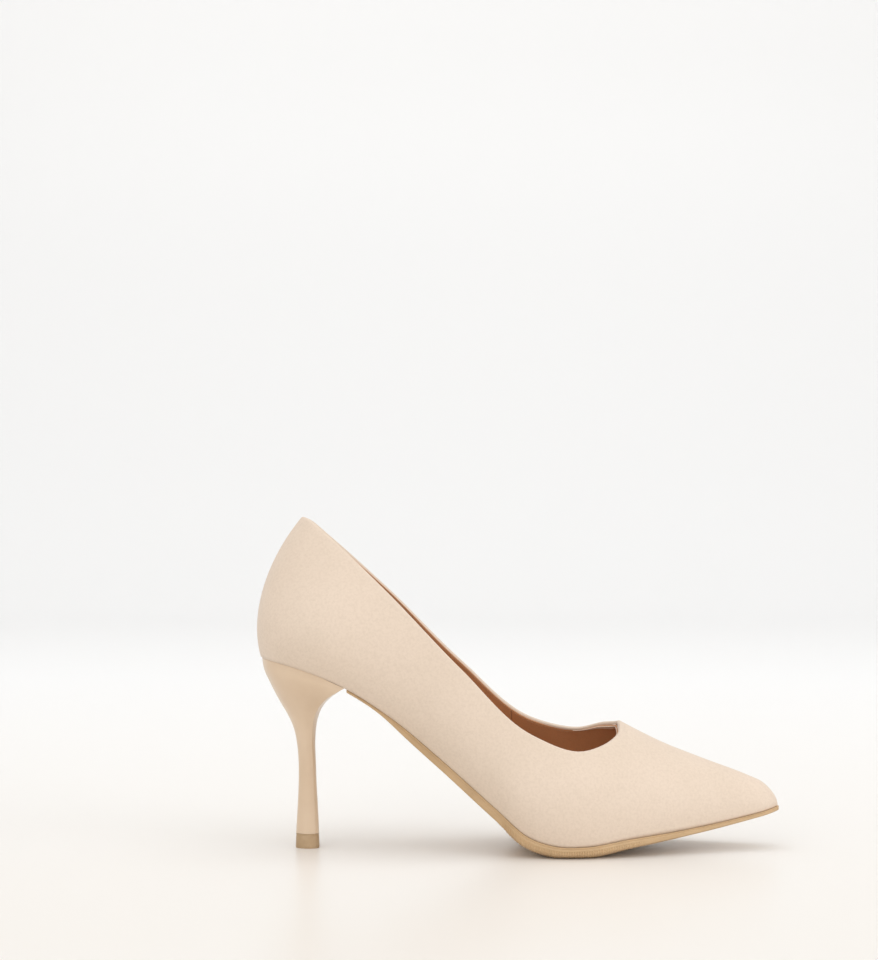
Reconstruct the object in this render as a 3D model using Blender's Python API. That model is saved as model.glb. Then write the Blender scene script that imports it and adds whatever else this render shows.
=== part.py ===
"""A stiletto court shoe (high heel pump) for the right foot, as the layers and fittings it is lasted from.

X runs from the back of the heel to the toe, Y towards the inner side of the foot, Z up from the ground.
Design values are in millimetres, and a mesh is scaled to metres as it is made.
"""

import math

import bmesh
import bpy
import numpy as np

MM = 0.001
GAP = 0.3  # clearance between pieces that are glued together in the real shoe
FINE_GAP = 0.15  # clearance between pieces with matching rings
LATERAL, MEDIAL = -1, 1  # the outer and the inner side of the foot, as the sign of Y
SIDES = (LATERAL, MEDIAL)
WELD = 1e-5  # metres

# ---- the last: the shape that the upper is pulled over ----
TOE_X = 235.0
HEEL_BACK_X = 2.2
SEAT_CENTRE_X = 32.0  # the ribs fan round this point at the heel
SEAT_SHARE = 0.79  # how far along the topline the fan begins
THROAT = (163.6, 57.1)
NOSE_ROUND = 9.0
VAMP_RIBS, QUARTER_RIBS = 9, 23
WALL_ROWS, LAYER_ROWS = 11, 9
TOE_FAN = 20.0
BOTTOM_LINE = [
    (2.2, 86.2), (20, 82.0), (38, 75.0), (60, 61.3), (85, 40.8), (108, 20.8), (121, 9.8),
    (132, 6.0), (146, 5.4), (165, 8.0), (190, 10.8), (212, 14.2), (228, 17.5), (235, 19.2),
]
RIDGE_RISE = [
    (115, 74.0), (125, 72.5), (140, 65.5), (152, 57.4),
    (163.6, 49.2), (180, 39.0), (201, 27.8), (218, 18.6),
    (228, 12.4), (235, 8.2),
]
RIDGE_Y = [(115, 4.0), (163.6, 4.0), (200, 2.6), (235, 1.0)]  # the ridge lies over the big toe
# The forepart's arches, from the sole to the ridge: their lean at the sole, in degrees, and how far they
# keep their direction at each end, as a share of the straight line between the ends.
ARCH_LEAN = [(115, 26), (140, 20), (163.6, 16), (214, 9), (235, 4)]
ARCH_LOW = 0.43
ARCH_TOP = {LATERAL: 0.29, MEDIAL: 0.26}
HALF_WIDTH = {
    LATERAL: [
        (2, 24.6), (32, 23.8), (52, 22.6), (70, 22.0), (84, 23.6), (100, 27.4), (118, 32.2),
        (136, 35.0), (150, 34.0), (170, 28.6), (195, 19.2), (218, 11.4), (235, 6.6),
    ],
    MEDIAL: [
        (2, 24.6), (32, 23.8), (48, 21.4), (62, 17.4), (76, 13.8), (90, 12.6), (101, 14.6), (112, 21.4),
        (122, 29.6), (134, 34.0), (150, 34.4), (170, 29.8), (195, 20.6), (218, 12.4), (235, 7.0),
    ],
}
TOPLINE = {
    LATERAL: [
        (163.6, -4, 57.1), (162.2, 11.0, 52.7), (156.4, 18.4, 49.2),
        (145.0, 25.2, 46.4), (124.0, 28.3, 53.6),
        (92.5, 28.4, 82.5), (61.0, 23.2, 114.9), (34.0, 12.2, 140.1),
        (24.2, 6.6, 148.0), (20.9, 0, 149.4),
    ],
    MEDIAL: [
        (163.6, 4, 57.1), (162.2, 10.0, 56.3), (157.6, 16.2, 55.4),
        (146.5, 24.4, 52.4), (126.0, 28.2, 56.2),
        (93.0, 28.0, 82.8), (60.5, 22.6, 115.3), (34.0, 12.4, 140.1),
        (24.2, 6.6, 148.0), (20.9, 0, 149.4),
    ],
}
# Where the rib from each share of the topline meets the sole. The ribs spread out from the throat.
RIB_FOOT = [
    (0, 176.0), (0.05, 166.0), (0.10, 156.3), (0.168, 143.5), (0.28, 121.5), (0.486, 87.5), (0.70, 52.0),
    (0.79, 32.0),
]
# A rib's place p runs from 0 at the toe over 1 at the throat to 2 at the heel's back.
# Behind QUARTER_FROM the ribs are the quarters' own, and up to VAMP_TO they lie on the forepart's arches.
VAMP_TO, QUARTER_FROM = 1.10, 1.30
# Leans are degrees from upright: outwards at the sole, inwards at the topline.
LEAN_LOW = {
    LATERAL: [(1, 20), (1.3, 32), (1.5, 40), (1.7, 46), (1.8, 45), (1.9, 34), (2, 14)],
    MEDIAL: [
        (1, 20), (1.22, 30), (1.32, 50), (1.42, 62), (1.52, 62),
        (1.62, 55), (1.72, 49), (1.8, 45), (1.9, 34), (2, 14),
    ],
}
LEAN_TOP = {
    LATERAL: [(1, 60), (1.17, 34), (1.28, 20), (1.49, 13), (1.7, 17), (1.86, 27), (2, 40)],
    MEDIAL: [(1, 60), (1.17, 39), (1.28, 26), (1.49, 20), (1.7, 20), (1.86, 27), (2, 40)],
}
PULL_LOW = {
    LATERAL: [(1, 0.42), (1.28, 0.43), (1.5, 0.41), (1.75, 0.40), (2, 0.317)],
    MEDIAL: [(1, 0.42), (1.28, 0.45), (1.45, 0.52), (1.6, 0.48), (1.78, 0.40), (2, 0.317)],
}
PULL_TOP = [(1, 0.36), (1.28, 0.39), (1.75, 0.40), (2, 0.367)]

# ---- layers, counted inwards from the outside of the upper ----
UPPER_T = 1.2
STIFFENER_OFFSET, STIFFENER_T = 1.5, 0.7
LINING_OFFSET, LINING_T = 2.5, 0.8
GRIP_OFFSET, GRIP_T = 3.8, 0.6
LASTING_MARGIN = 9.0
# ---- layers, counted up from the underside of the upper ----
BOARD_FLOOR, BOARD_T = 1.8, 1.8
CUSHION_FLOOR, CUSHION_T = 3.9, 1.8
SOCK_FLOOR, SOCK_T = 6.0, 0.7
INSOLE_EDGE = 4.3  # how far the bottom layers stay inside the outside of the upper
INSOLE_JOINT_X = 119.0
LINING_JOINT = 1 + 7 / QUARTER_RIBS
COUNTER_START = 1 + 14 / QUARTER_RIBS
GRIP_START = 1 + 20 / QUARTER_RIBS
FRONT_OPEN = 3 / VAMP_RIBS  # where the toe puff and the vamp lining begin
PUFF_END = 6 / VAMP_RIBS
TAPE_EDGE, TAPE_WIDTH = 1.5, 3.0

# ---- outsole ----
OUTSOLE_BACK_X = 41.6
OUTSOLE_LIP = [(43, -0.3), (90, 0), (125, 0.5), (200, 0.7), (235, 0.9)]
OUTSOLE_T = [
    (43, 1.1), (56, 1.5), (66, 3.0), (85, 3.8), (110, 4.4),
    (126, 5.3), (152, 5.3), (166, 4.6), (186, 3.3),
    (208, 2.4), (235, 1.7),
]
OUTSOLE_EDGE_T = [
    (43, 1.0), (56, 1.3), (66, 2.7), (85, 3.4), (110, 3.7),
    (126, 3.6), (140, 3.3), (166, 3.2), (186, 2.5),
    (208, 1.8), (235, 1.3),
]
EDGE_ROUND = 7.0  # width of the raised rim of the outsole's underside
MIDDLE_SHARE = 0.45  # of the sole's half width, the least that stays flat
EDGE_FLOOR = 0.6  # the edge stays this far off the ground
STATION_RANGE, STATIONS = (0.12, 1), 34

# ---- heel: curves over q, from 0 at the top piece to 1 at the seat ----
HEEL_BACK = [
    (0, 18.0), (0.1, 18.3), (0.2, 18.75), (0.3, 19.1), (0.4, 19.1), (0.5, 18.5), (0.6, 17.0), (0.7, 14.2),
    (0.8, 10.4), (0.9, 6.0), (0.96, 3.4), (1, 2.6),
]
HEEL_FRONT = [
    (0, 28.3), (0.1, 28.1), (0.2, 27.7), (0.3, 27.2), (0.4, 26.9), (0.5, 26.6), (0.6, 27.0), (0.7, 28.3),
    (0.8, 30.6), (0.9, 35.2), (0.96, 39.0), (1, 41.0),
]
HEEL_HALF_WIDTH = [
    (0, 4.7), (0.1, 4.5), (0.2, 4.2), (0.3, 4.0), (0.4, 4.1),
    (0.5, 4.7), (0.6, 6.6), (0.7, 10.2), (0.8, 14.6),
    (0.9, 20.4), (0.96, 23.2), (1, 23.5),
]
HEEL_BACK_Z = [
    (0, 6.6), (0.1, 12), (0.2, 20), (0.3, 29), (0.4, 38), (0.5, 46), (0.6, 53.5), (0.7, 60), (0.8, 66.5),
    (0.9, 75), (0.96, 81), (1, 85.8),
]
HEEL_FRONT_Z = [
    (0, 6.6), (0.1, 12), (0.2, 20), (0.3, 29), (0.4, 38), (0.5, 46.2), (0.6, 54), (0.7, 60), (0.8, 65),
    (0.9, 69.0), (0.96, 71.1), (1, 73.1),
]
HEEL_RINGS = 16
HEEL_WIDEST = (0.60, 0.74)  # share of the ring's length, at the stem and at the seat
HEEL_CORNER = (0.85, 0.985)
HEEL_CORNER_WIDTH = (0.86, 0.99)
FACE_SHARE = 0.45  # of the breast's width, the part that is straight across
ROUND_STEPS = 7
MOST_LEAN = 2.2
SPREAD_FROM, SEAT_FROM = 0.5, 0.75  # where on q the stem's plan opens out, and where the seat's bow begins
COVER_T = 0.5
CORE_INSET = COVER_T + GAP
TOP_PIECE_TOP_Z = 6.3
TOP_PIECE_FLARE = 0.15

# ---- fittings ----
STEM_X = 23.15
TUBE_R, TUBE_BORE_R, TUBE_Z = 2.0, 1.5, (9.0, 58.0)
PIN_R, PIN_Z = 1.35, (2.5, 24.0)
ROUND = 12  # sides of a round fitting
SCREW = {"x": 25.0, "shaft_r": 1.7, "length": 17.0, "head_r": 3.4, "head_t": 1.0}
NAIL = {"shaft_r": 0.8, "length": 12.0, "head_r": 1.7, "head_t": 0.7}
NAIL_PLACES = [(18, -8), (18, 8), (32, -9), (32, 9)]
RIVET = {"shaft_r": 1.3, "head_r": 2.4, "head_t": 0.35}
RIVET_X = (52.0, 102.0)
SHANK_X, SHANK_HALF_WIDTH, SHANK_LEVEL, SHANK_T = (15.0, 115.0), 5.0, 0.15, 1.0
SHANK_END_HALF_WIDTH, SHANK_END_ROUND = 2.0, 5.0
FILLER_X, FILLER_LEVEL, FILLER_T = (124.0, 214.0), 0.15, 1.0
HEAD_SINK = 0.35  # how far a head lies below the face of the board
POINT_SHARE, POINT_LENGTH = 0.4, 1.6  # of a nail's or screw's point, as shares of its radius

SLOTS = {
    "upper_leather": ((0.83, 0.70, 0.57), 0.55, 0.0),
    "lining_leather": ((0.42, 0.20, 0.10), 0.6, 0.0),
    "heel_film": ((0.76, 0.62, 0.47), 0.3, 0.0),
    "outsole_rubber": ((0.62, 0.46, 0.27), 0.6, 0.0),
    "tip_plastic": ((0.58, 0.43, 0.27), 0.45, 0.0),
    "heel_plastic": ((0.80, 0.78, 0.72), 0.4, 0.0),
    "steel": ((0.62, 0.62, 0.60), 0.3, 1.0),
    "board": ((0.55, 0.42, 0.30), 0.8, 0.0),
    "foam": ((0.86, 0.82, 0.70), 0.9, 0.0),
    "stiffener": ((0.85, 0.84, 0.80), 0.7, 0.0),
    "tape": ((0.90, 0.89, 0.86), 0.7, 0.0),
}


# ---- curves ----
def knot_slopes(knots, values):
    """Slope at each knot, from the spans on both sides of it."""
    spans = np.diff(knots)[:, None]
    rises = np.diff(values, axis=0) / spans
    inner = (rises[:-1] * spans[1:] + rises[1:] * spans[:-1]) / (spans[:-1] + spans[1:])
    return np.vstack([rises[:1], inner, rises[-1:]])


def hermite(knots, values, at):
    """Values of the smooth curve through (knots, values) at each place in at."""
    slopes = knot_slopes(knots, values)
    at = np.clip(at, knots[0], knots[-1])
    k = np.clip(np.searchsorted(knots, at, side="right") - 1, 0, len(knots) - 2)
    span = (knots[k + 1] - knots[k])[:, None]
    t = ((at - knots[k]) / span[:, 0])[:, None]
    return (
        values[k] * (2 * t**3 - 3 * t**2 + 1)
        + slopes[k] * span * (t**3 - 2 * t**2 + t)
        + values[k + 1] * (3 * t**2 - 2 * t**3)
        + slopes[k + 1] * span * (t**3 - t**2)
    )


def smooth(table, x):
    """The smooth curve through a table of (place, value), at a number or an array."""
    table = np.array(table, float)
    at = np.atleast_1d(np.asarray(x, float))
    found = hermite(table[:, 0], table[:, 1:], at)[:, 0]
    return found if np.ndim(x) else float(found[0])


def rounded_end(distance, radius):
    """0 at an end and 1 from radius on, along a quarter ellipse."""
    inside = 1 - np.clip(np.asarray(distance, float) / radius, 0, 1)
    return np.sqrt(1 - inside**2)


def unit(v):
    return v / np.linalg.norm(v)


def unit_rows(rows):
    return rows / np.linalg.norm(rows, axis=1)[:, None]


# ---- the last ----
def bottom(x):
    return smooth(BOTTOM_LINE, x)


def fall(x):
    """Slope of the bottom line."""
    step = 0.5
    return (bottom(np.asarray(x) + step) - bottom(np.asarray(x) - step)) / (2 * step)


def level(x, height):
    """Z of the surface that lies this height above the bottom line, square to it."""
    return bottom(x) + height * np.sqrt(1 + fall(x) ** 2)


def half_width(side, x):
    seat = SEAT_CENTRE_X - HEEL_BACK_X
    ends = rounded_end(np.asarray(x) - HEEL_BACK_X, seat) * rounded_end(TOE_X - np.asarray(x), NOSE_ROUND)
    return smooth(HALF_WIDTH[side], x) * ends


def ridge(x):
    return bottom(x) + smooth(RIDGE_RISE, x) * rounded_end(TOE_X - x, NOSE_ROUND)


def dense_topline(side):
    """Closely spaced points of the topline from the throat to the heel, with the length run at each."""
    points = np.array(TOPLINE[side], float)
    mirror = np.array([1, -1, 1])
    ahead = points[1] * mirror + (0, 2 * points[0][1], 0)
    points = np.vstack([ahead, points, points[-2] * mirror])
    knots = np.concatenate([[0], np.cumsum(np.linalg.norm(np.diff(points, axis=0), axis=1))])
    found = hermite(knots, points, np.linspace(knots[1], knots[-2], 400))
    run = np.concatenate([[0], np.cumsum(np.linalg.norm(np.diff(found, axis=0), axis=1))])
    return found, run / run[-1]


DENSE_TOPLINE = {side: dense_topline(side) for side in SIDES}


def topline(side, share):
    points, run = DENSE_TOPLINE[side]
    x, y, z = (np.interp(share, run, points[:, k]) for k in range(3))
    return np.array([x, side * y, z])


def cubic(a, b, c, d, t):
    return a * (1 - t) ** 3 + 3 * b * t * (1 - t) ** 2 + 3 * c * t**2 * (1 - t) + d * t**3


def arch(side, x, t):
    """Points of the forepart at each x, at the share t of the way up from the sole to the ridge."""
    foot_y, foot_z = side * half_width(side, x), bottom(x)
    ridge_y = smooth(RIDGE_Y, x) * rounded_end(TOE_X - x, NOSE_ROUND)
    ridge_z = ridge(x)
    chord = np.hypot(ridge_y - foot_y, ridge_z - foot_z)
    lean = np.radians(smooth(ARCH_LEAN, x))
    low, high = chord * ARCH_LOW, chord * ARCH_TOP[side]
    y = cubic(foot_y, foot_y + side * low * np.sin(lean), ridge_y + side * high, ridge_y, t)
    z = cubic(foot_z, foot_z + low * np.cos(lean), ridge_z, ridge_z, t)
    return np.stack([x, y, z], axis=1)


def foot_x(share):
    """Where the rib from this share of the topline meets the sole."""
    turn = max(share - SEAT_SHARE, 0) / (1 - SEAT_SHARE) * math.pi / 2
    seat = SEAT_CENTRE_X - (SEAT_CENTRE_X - HEEL_BACK_X) * math.sin(turn)
    return smooth(RIB_FOOT, share) if share < SEAT_SHARE else seat


def on_arches(side, p, t):
    """For a rib at place p, the x and the share of the arch at each share t of its own way up."""
    if p <= 1:
        back = 1 - math.cos(p * math.pi / 2)
        low_x, top_x = (TOE_X - (TOE_X - end) * back for end in (RIB_FOOT[0][1], THROAT[0]))
        return low_x + (top_x - low_x) * t, t
    top = topline(side, p - 1)
    shares = np.linspace(0, 1, 201)
    heights = arch(side, np.full(201, top[0]), shares)[:, 2]
    return foot_x(p - 1) + (top[0] - foot_x(p - 1)) * t, t * np.interp(top[2], heights, shares)


def quarter_points(side, p, t):
    x = foot_x(p - 1)
    foot, top = np.array([x, side * half_width(side, x), bottom(x)]), topline(side, p - 1)
    away = unit(np.array([x - SEAT_CENTRE_X, foot[1], 0])) if x < SEAT_CENTRE_X else np.array([0.0, side, 0])
    up = np.array([0, 0, 1.0])
    lean_low, lean_top = (math.radians(smooth(table[side], p)) for table in (LEAN_LOW, LEAN_TOP))
    chord = np.linalg.norm(top - foot)
    low, high = chord * smooth(PULL_LOW[side], p), chord * smooth(PULL_TOP, p)
    bulge = foot + low * (away * math.sin(lean_low) + up * math.cos(lean_low))
    hollow = top + high * (away * math.sin(lean_top) - up * math.cos(lean_top))
    return cubic(foot, bulge, hollow, top, t[:, None])


def quarter_share(p):
    """0 where a rib lies on the forepart's arches, 1 where it is the quarter's own."""
    t = min(max((p - VAMP_TO) / (QUARTER_FROM - VAMP_TO), 0), 1)
    return t * t * (3 - 2 * t)


def rib_points(side, p, t):
    share = quarter_share(p)
    points = arch(side, *on_arches(side, p, t)) if share < 1 else 0
    own = quarter_points(side, p, t) if share else 0
    return points * (1 - share) + own * share


def rib_normals(side, p, t):
    """Directions square to the outside of the upper, pointing out."""
    step = 1e-3
    share = quarter_share(p)
    total = np.zeros((len(t), 3))
    if share < 1:
        x, climb = on_arches(side, max(p, 0.02), t)
        climb = np.clip(climb, step, 1)
        forwards = arch(side, x + step, climb) - arch(side, x - step, climb)
        upwards = arch(side, x, climb) - arch(side, x, climb - step)
        total += (1 - share) * unit_rows(np.cross(upwards, forwards) * side)
    if share:
        first = min(p, 2 - step)
        ahead = quarter_points(side, first + step, t) - quarter_points(side, first, t)
        upwards = np.gradient(quarter_points(side, p, t), axis=0)
        total += share * unit_rows(np.cross(ahead, upwards) * side)
    if p <= 1:
        total[-1, 1] = 0  # the ridge is shared by both sides
    if p > 2 - step:
        total[:, 1] = 0  # and so is the heel's back
    return unit_rows(total)


def offset_points(side, p, t, offset):
    """Points of a rib, moved inwards from the outside of the upper."""
    return rib_points(side, p, t) - rib_normals(side, p, t) * offset


def wall(side, p, offset, floor, rows, clear=0.0, width=None):
    """A rib's points from the floor to a distance clear below the topline, or only the top width of them."""
    points = offset_points(side, p, np.linspace(0, 1, 61), offset)
    x = points[:, 0]
    height = (points[:, 2] - bottom(x)) / np.sqrt(1 + fall(x) ** 2)
    first = int(np.argmax(height > floor))
    if first:
        t = (floor - height[first - 1]) / (height[first] - height[first - 1])
        start = points[first - 1] + (points[first] - points[first - 1]) * t
        points = np.vstack([start, points[first:]])
    run = np.concatenate([[0], np.cumsum(np.linalg.norm(np.diff(points, axis=0), axis=1))])
    end = run[-1] - clear
    at = np.linspace(0 if width is None else end - width, end, rows + 1)
    return np.array([[np.interp(s, run, points[:, k]) for k in range(3)] for s in at])


RIB_PLACES = np.concatenate([
    np.linspace(0, 1, VAMP_RIBS + 1),
    1 + np.linspace(0, 1, QUARTER_RIBS + 1)[1:],
])


def ribs_between(start, end):
    """The ribs that every layer shares, from one place to another, so that the layers nest."""
    inner = RIB_PLACES[(RIB_PLACES > start + 0.01) & (RIB_PLACES < end - 0.01)]
    return [start, *inner, end]


# ---- mesh helpers ----
def new_object(name, bm, slot, smooth_angle=40):
    mesh = bpy.data.meshes.new(name)
    bmesh.ops.scale(bm, vec=(MM, MM, MM), verts=bm.verts)
    bmesh.ops.remove_doubles(bm, verts=bm.verts, dist=WELD)
    bm.to_mesh(mesh)
    bm.free()
    mesh.shade_smooth()
    mesh.set_sharp_from_angle(angle=math.radians(smooth_angle))
    mesh.materials.append(material(slot))
    obj = bpy.data.objects.new(name, mesh)
    bpy.context.scene.collection.objects.link(obj)
    return obj


def material(slot):
    found = bpy.data.materials.get(slot)
    if found:
        return found
    colour, roughness, metallic = SLOTS[slot]
    made = bpy.data.materials.new(slot)
    made.use_nodes = True
    shader = made.node_tree.nodes["Principled BSDF"]
    shader.inputs["Base Color"].default_value = (*colour, 1)
    shader.inputs["Roughness"].default_value = roughness
    shader.inputs["Metallic"].default_value = metallic
    return made


def add_grid(bm, points, flip):
    """A grid of faces laid over rows of points."""
    points = np.asarray(points)
    rows, columns = points.shape[0] - 1, points.shape[1] - 1
    made = bmesh.ops.create_grid(bm, x_segments=rows, y_segments=columns, size=1)["verts"]
    for vert in made:
        i = round((vert.co.x + 1) / 2 * rows)
        j = round((vert.co.y + 1) / 2 * columns)
        vert.co = points[i][j]
    if flip:
        faces = list({face for vert in made for face in vert.link_faces})
        bmesh.ops.reverse_faces(bm, faces=faces)


def thicken(obj, thickness, inwards=True):
    solid = obj.modifiers.new("thickness", "SOLIDIFY")
    solid.thickness = thickness * MM
    solid.offset = -1 if inwards else 1
    solid.use_even_offset = False
    solid.use_quality_normals = True
    return obj


def shell(name, slot, grids, thickness):
    """A layer of the upper: one grid on each side of the foot, joined where they meet."""
    bm = bmesh.new()
    for side, points in zip(SIDES, grids):
        add_grid(bm, points, flip=side == LATERAL)
    return thicken(new_object(name, bm, slot), thickness)


def face_outwards(bm):
    bmesh.ops.recalc_face_normals(bm, faces=bm.faces)
    if bm.calc_volume(signed=True) < 0:
        bmesh.ops.reverse_faces(bm, faces=bm.faces)


def add_loft(bm, rings, closed=False):
    """Skin over rings of points: each ring is the one before it, extruded and set in place."""
    count = len(rings[0])
    verts = bmesh.ops.create_circle(bm, segments=count, radius=1)["verts"]
    for vert, place in zip(verts, rings[0]):
        vert.co = place
    first = verts
    for ring in rings[1:]:
        edges = [bm.edges.get((verts[k], verts[(k + 1) % count])) for k in range(count)]
        order = {tuple(vert.co): k for k, vert in enumerate(verts)}
        made = bmesh.ops.extrude_edge_only(bm, edges=edges)["geom"]
        fresh = [None] * count
        for vert in (item for item in made if isinstance(item, bmesh.types.BMVert)):
            fresh[order[tuple(vert.co)]] = vert
        for vert, place in zip(fresh, ring):
            vert.co = place
        verts = fresh
    if closed:
        edges = [
            bm.edges.get((ring[k], ring[(k + 1) % count])) for ring in (first, verts) for k in range(count)
        ]
        bmesh.ops.bridge_loops(bm, edges=edges)
        return
    for ring in (first, verts):
        for k in range(count // 2 - 1):
            corners = (ring[k], ring[k + 1], ring[count - 2 - k], ring[count - 1 - k])
            bm.faces.new(corners)


def loft(name, slot, rings, closed=False):
    """A closed body over rings. A ring runs down one side and back up the other, so that its ends pair up."""
    bm = bmesh.new()
    add_loft(bm, rings, closed)
    bmesh.ops.triangulate(bm, faces=bm.faces, quad_method="SHORT_EDGE")
    face_outwards(bm)
    return new_object(name, bm, slot)


def turned(name, slot, profile, place=(0, 0, 0), tilt=0.0):
    """A round piece from (radius, height) pairs, spun about its own axis and then stood in place."""
    bm = bmesh.new()
    verts = [bm.verts.new((radius, 0, height)) for radius, height in profile]
    edges = [bm.edges.new(pair) for pair in zip(verts, verts[1:])]
    bmesh.ops.spin(
        bm, geom=verts + edges, cent=(0, 0, 0), axis=(0, 0, 1), angle=math.tau, steps=ROUND, use_merge=True
    )
    bmesh.ops.remove_doubles(bm, verts=bm.verts, dist=WELD / MM)
    face_outwards(bm)
    obj = new_object(name, bm, slot)
    obj.location = [c * MM for c in place]
    obj.rotation_euler = (0, tilt, 0)
    return obj


def cut(obj, cutter):
    cutter.hide_render = True
    cutter.display_type = "WIRE"
    boolean = obj.modifiers.new("cut", "BOOLEAN")
    boolean.operation = "DIFFERENCE"
    boolean.object = cutter


def rod_profile(radius, low, high, grow=0.0):
    return [(0, low - grow), (radius + grow, low - grow), (radius + grow, high + grow), (0, high + grow)]


def headed_profile(spec, grow=0.0, open_top=0.0):
    """A shaft that hangs below z 0, with its head above it."""
    shaft, head, top = spec["shaft_r"] + grow, spec["head_r"] + grow, spec["head_t"] + grow + open_top
    low = -spec["length"] - grow
    tip, cone = shaft * POINT_SHARE, shaft * POINT_LENGTH
    return [
        (0, low), (tip, low), (shaft, low + cone), (shaft, -grow), (head, -grow), (head, top), (0, top),
    ]


# ---- the upper and its layers ----
def margin_point(side, p):
    """Where the upper's lasting margin ends, under the insole."""
    foot = rib_points(side, p, np.zeros(1))[0]
    x = min(max(foot[0], SEAT_CENTRE_X), TOE_X - TOE_FAN)
    middle = (half_width(MEDIAL, foot[0]) - half_width(LATERAL, foot[0])) / 2
    inwards = np.array([x, middle, foot[2]]) - foot
    reach = np.linalg.norm(inwards)
    point = foot + inwards * min(LASTING_MARGIN / reach, 0.6) if reach > 0 else foot
    point[2] = bottom(point[0])
    return point


def make_upper():
    grids = []
    for side in SIDES:
        ribs = []
        for p in RIB_PLACES:
            climb = rib_points(side, p, np.linspace(0, 1, WALL_ROWS + 1))
            ribs.append(np.vstack([margin_point(side, p), climb]))
        grids.append(ribs)
    return shell("upper", "upper_leather", grids, UPPER_T)


def make_layer(name, slot, start, end, offset, thickness, floor, rows=LAYER_ROWS, clear=0.0, width=None):
    grids = [
        [wall(side, p, offset, floor, rows, clear, width) for p in ribs_between(start, end)]
        for side in SIDES
    ]
    return shell(name, slot, grids, thickness)


# ---- bottom layers ----
def floor_outline(offset, floor):
    """For each side, a function that gives the Y at which a layer of the wall meets this floor."""
    edges = {}
    for side in SIDES:
        feet = np.array([wall(side, p, offset, floor, 1)[0] for p in np.linspace(0.2, 2, 90)])
        order = np.argsort(feet[:, 0])
        edges[side] = feet[order]
    return edges


def deck(name, slot, x_range, height, thickness, edges, count=26):
    """A sheet that follows the bottom line, from edge to edge, with its underside at this height."""
    low, high = x_range
    turn = np.linspace(0, math.pi, count + 1)
    rows = []
    for x in low + (high - low) * (1 - np.cos(turn)) / 2:
        ends = [edges(side, x) for side in SIDES]
        rows.append([(x, y, level(x, height)) for y in np.linspace(*ends, 3)])
    bm = bmesh.new()
    add_grid(bm, rows, flip=False)
    bmesh.ops.recalc_face_normals(bm, faces=bm.faces)
    if sum(face.normal.z for face in bm.faces) < 0:
        bmesh.ops.reverse_faces(bm, faces=bm.faces)
    return thicken(new_object(name, bm, slot), thickness, inwards=False)


def edge_reader(outline):
    def y_at(side, x):
        feet = outline[side]
        return np.interp(x, feet[:, 0], feet[:, 1])

    return y_at


def filler_edge(side, x):
    reach = half_width(side, x)
    return side * max(reach - LASTING_MARGIN - 1.0, reach * 0.30)


def shank_edge(side, x):
    middle = (half_width(MEDIAL, x) - half_width(LATERAL, x)) / 2
    from_end = min(x - SHANK_X[0], SHANK_X[1] - x)
    opened = float(rounded_end(from_end, SHANK_END_ROUND))
    return middle + side * (SHANK_END_HALF_WIDTH + (SHANK_HALF_WIDTH - SHANK_END_HALF_WIDTH) * opened)


def seat_tilt(x):
    """Turn about Y that stands a fitting square to the insole."""
    return -math.atan(float(fall(x)))


def on_board(x, y, height):
    return (x, y, float(level(x, height)))


def make_bottom_layers():
    board_top = BOARD_FLOOR + BOARD_T
    board_edge = edge_reader(floor_outline(INSOLE_EDGE, BOARD_FLOOR))
    back, front = HEEL_BACK_X + INSOLE_EDGE + 1.0, TOE_X - INSOLE_EDGE - 3.0
    shank_board = deck(
        "insole_shank_board", "board", (back, INSOLE_JOINT_X - GAP), BOARD_FLOOR, BOARD_T, board_edge
    )
    deck("insole_forepart_board", "board", (INSOLE_JOINT_X, front), BOARD_FLOOR, BOARD_T, board_edge)
    for name, floor, thickness, slot in (
        ("insole_cushion", CUSHION_FLOOR, CUSHION_T, "foam"),
        ("sock_lining", SOCK_FLOOR, SOCK_T, "lining_leather"),
    ):
        edge = edge_reader(floor_outline(INSOLE_EDGE, floor))
        deck(name, slot, (back + 0.3, front - 2.0), floor, thickness, edge, count=30)
    shank = deck("steel_shank", "steel", SHANK_X, SHANK_LEVEL, SHANK_T, shank_edge)
    deck("forepart_filler", "foam", FILLER_X, FILLER_LEVEL, FILLER_T, filler_edge)
    for number, x in enumerate(RIVET_X, 1):
        y = (half_width(MEDIAL, x) - half_width(LATERAL, x)) / 2
        place, tilt = on_board(x, y, 0), seat_tilt(x)
        top = board_top - HEAD_SINK
        profile = rivet_profile(RIVET, SHANK_LEVEL - 0.05, top)
        turned(f"shank_rivet_{number}", "steel", profile, place, tilt)
        cutter = turned(f"rivet_hole_{number}", "steel", rivet_profile(RIVET, -3, top, 0.2, 2), place, tilt)
        for piece in (shank, shank_board):
            cut(piece, cutter)
    return shank, shank_board


def rivet_profile(spec, low, high, grow=0.0, open_top=0.0):
    """A rivet with its head let into the board."""
    shaft, head = spec["shaft_r"] + grow, spec["head_r"] + grow
    under = high - spec["head_t"] - grow
    top = high + open_top
    return [(0, low), (shaft, low), (shaft, under), (head, under), (head, top), (0, top)]


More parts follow.
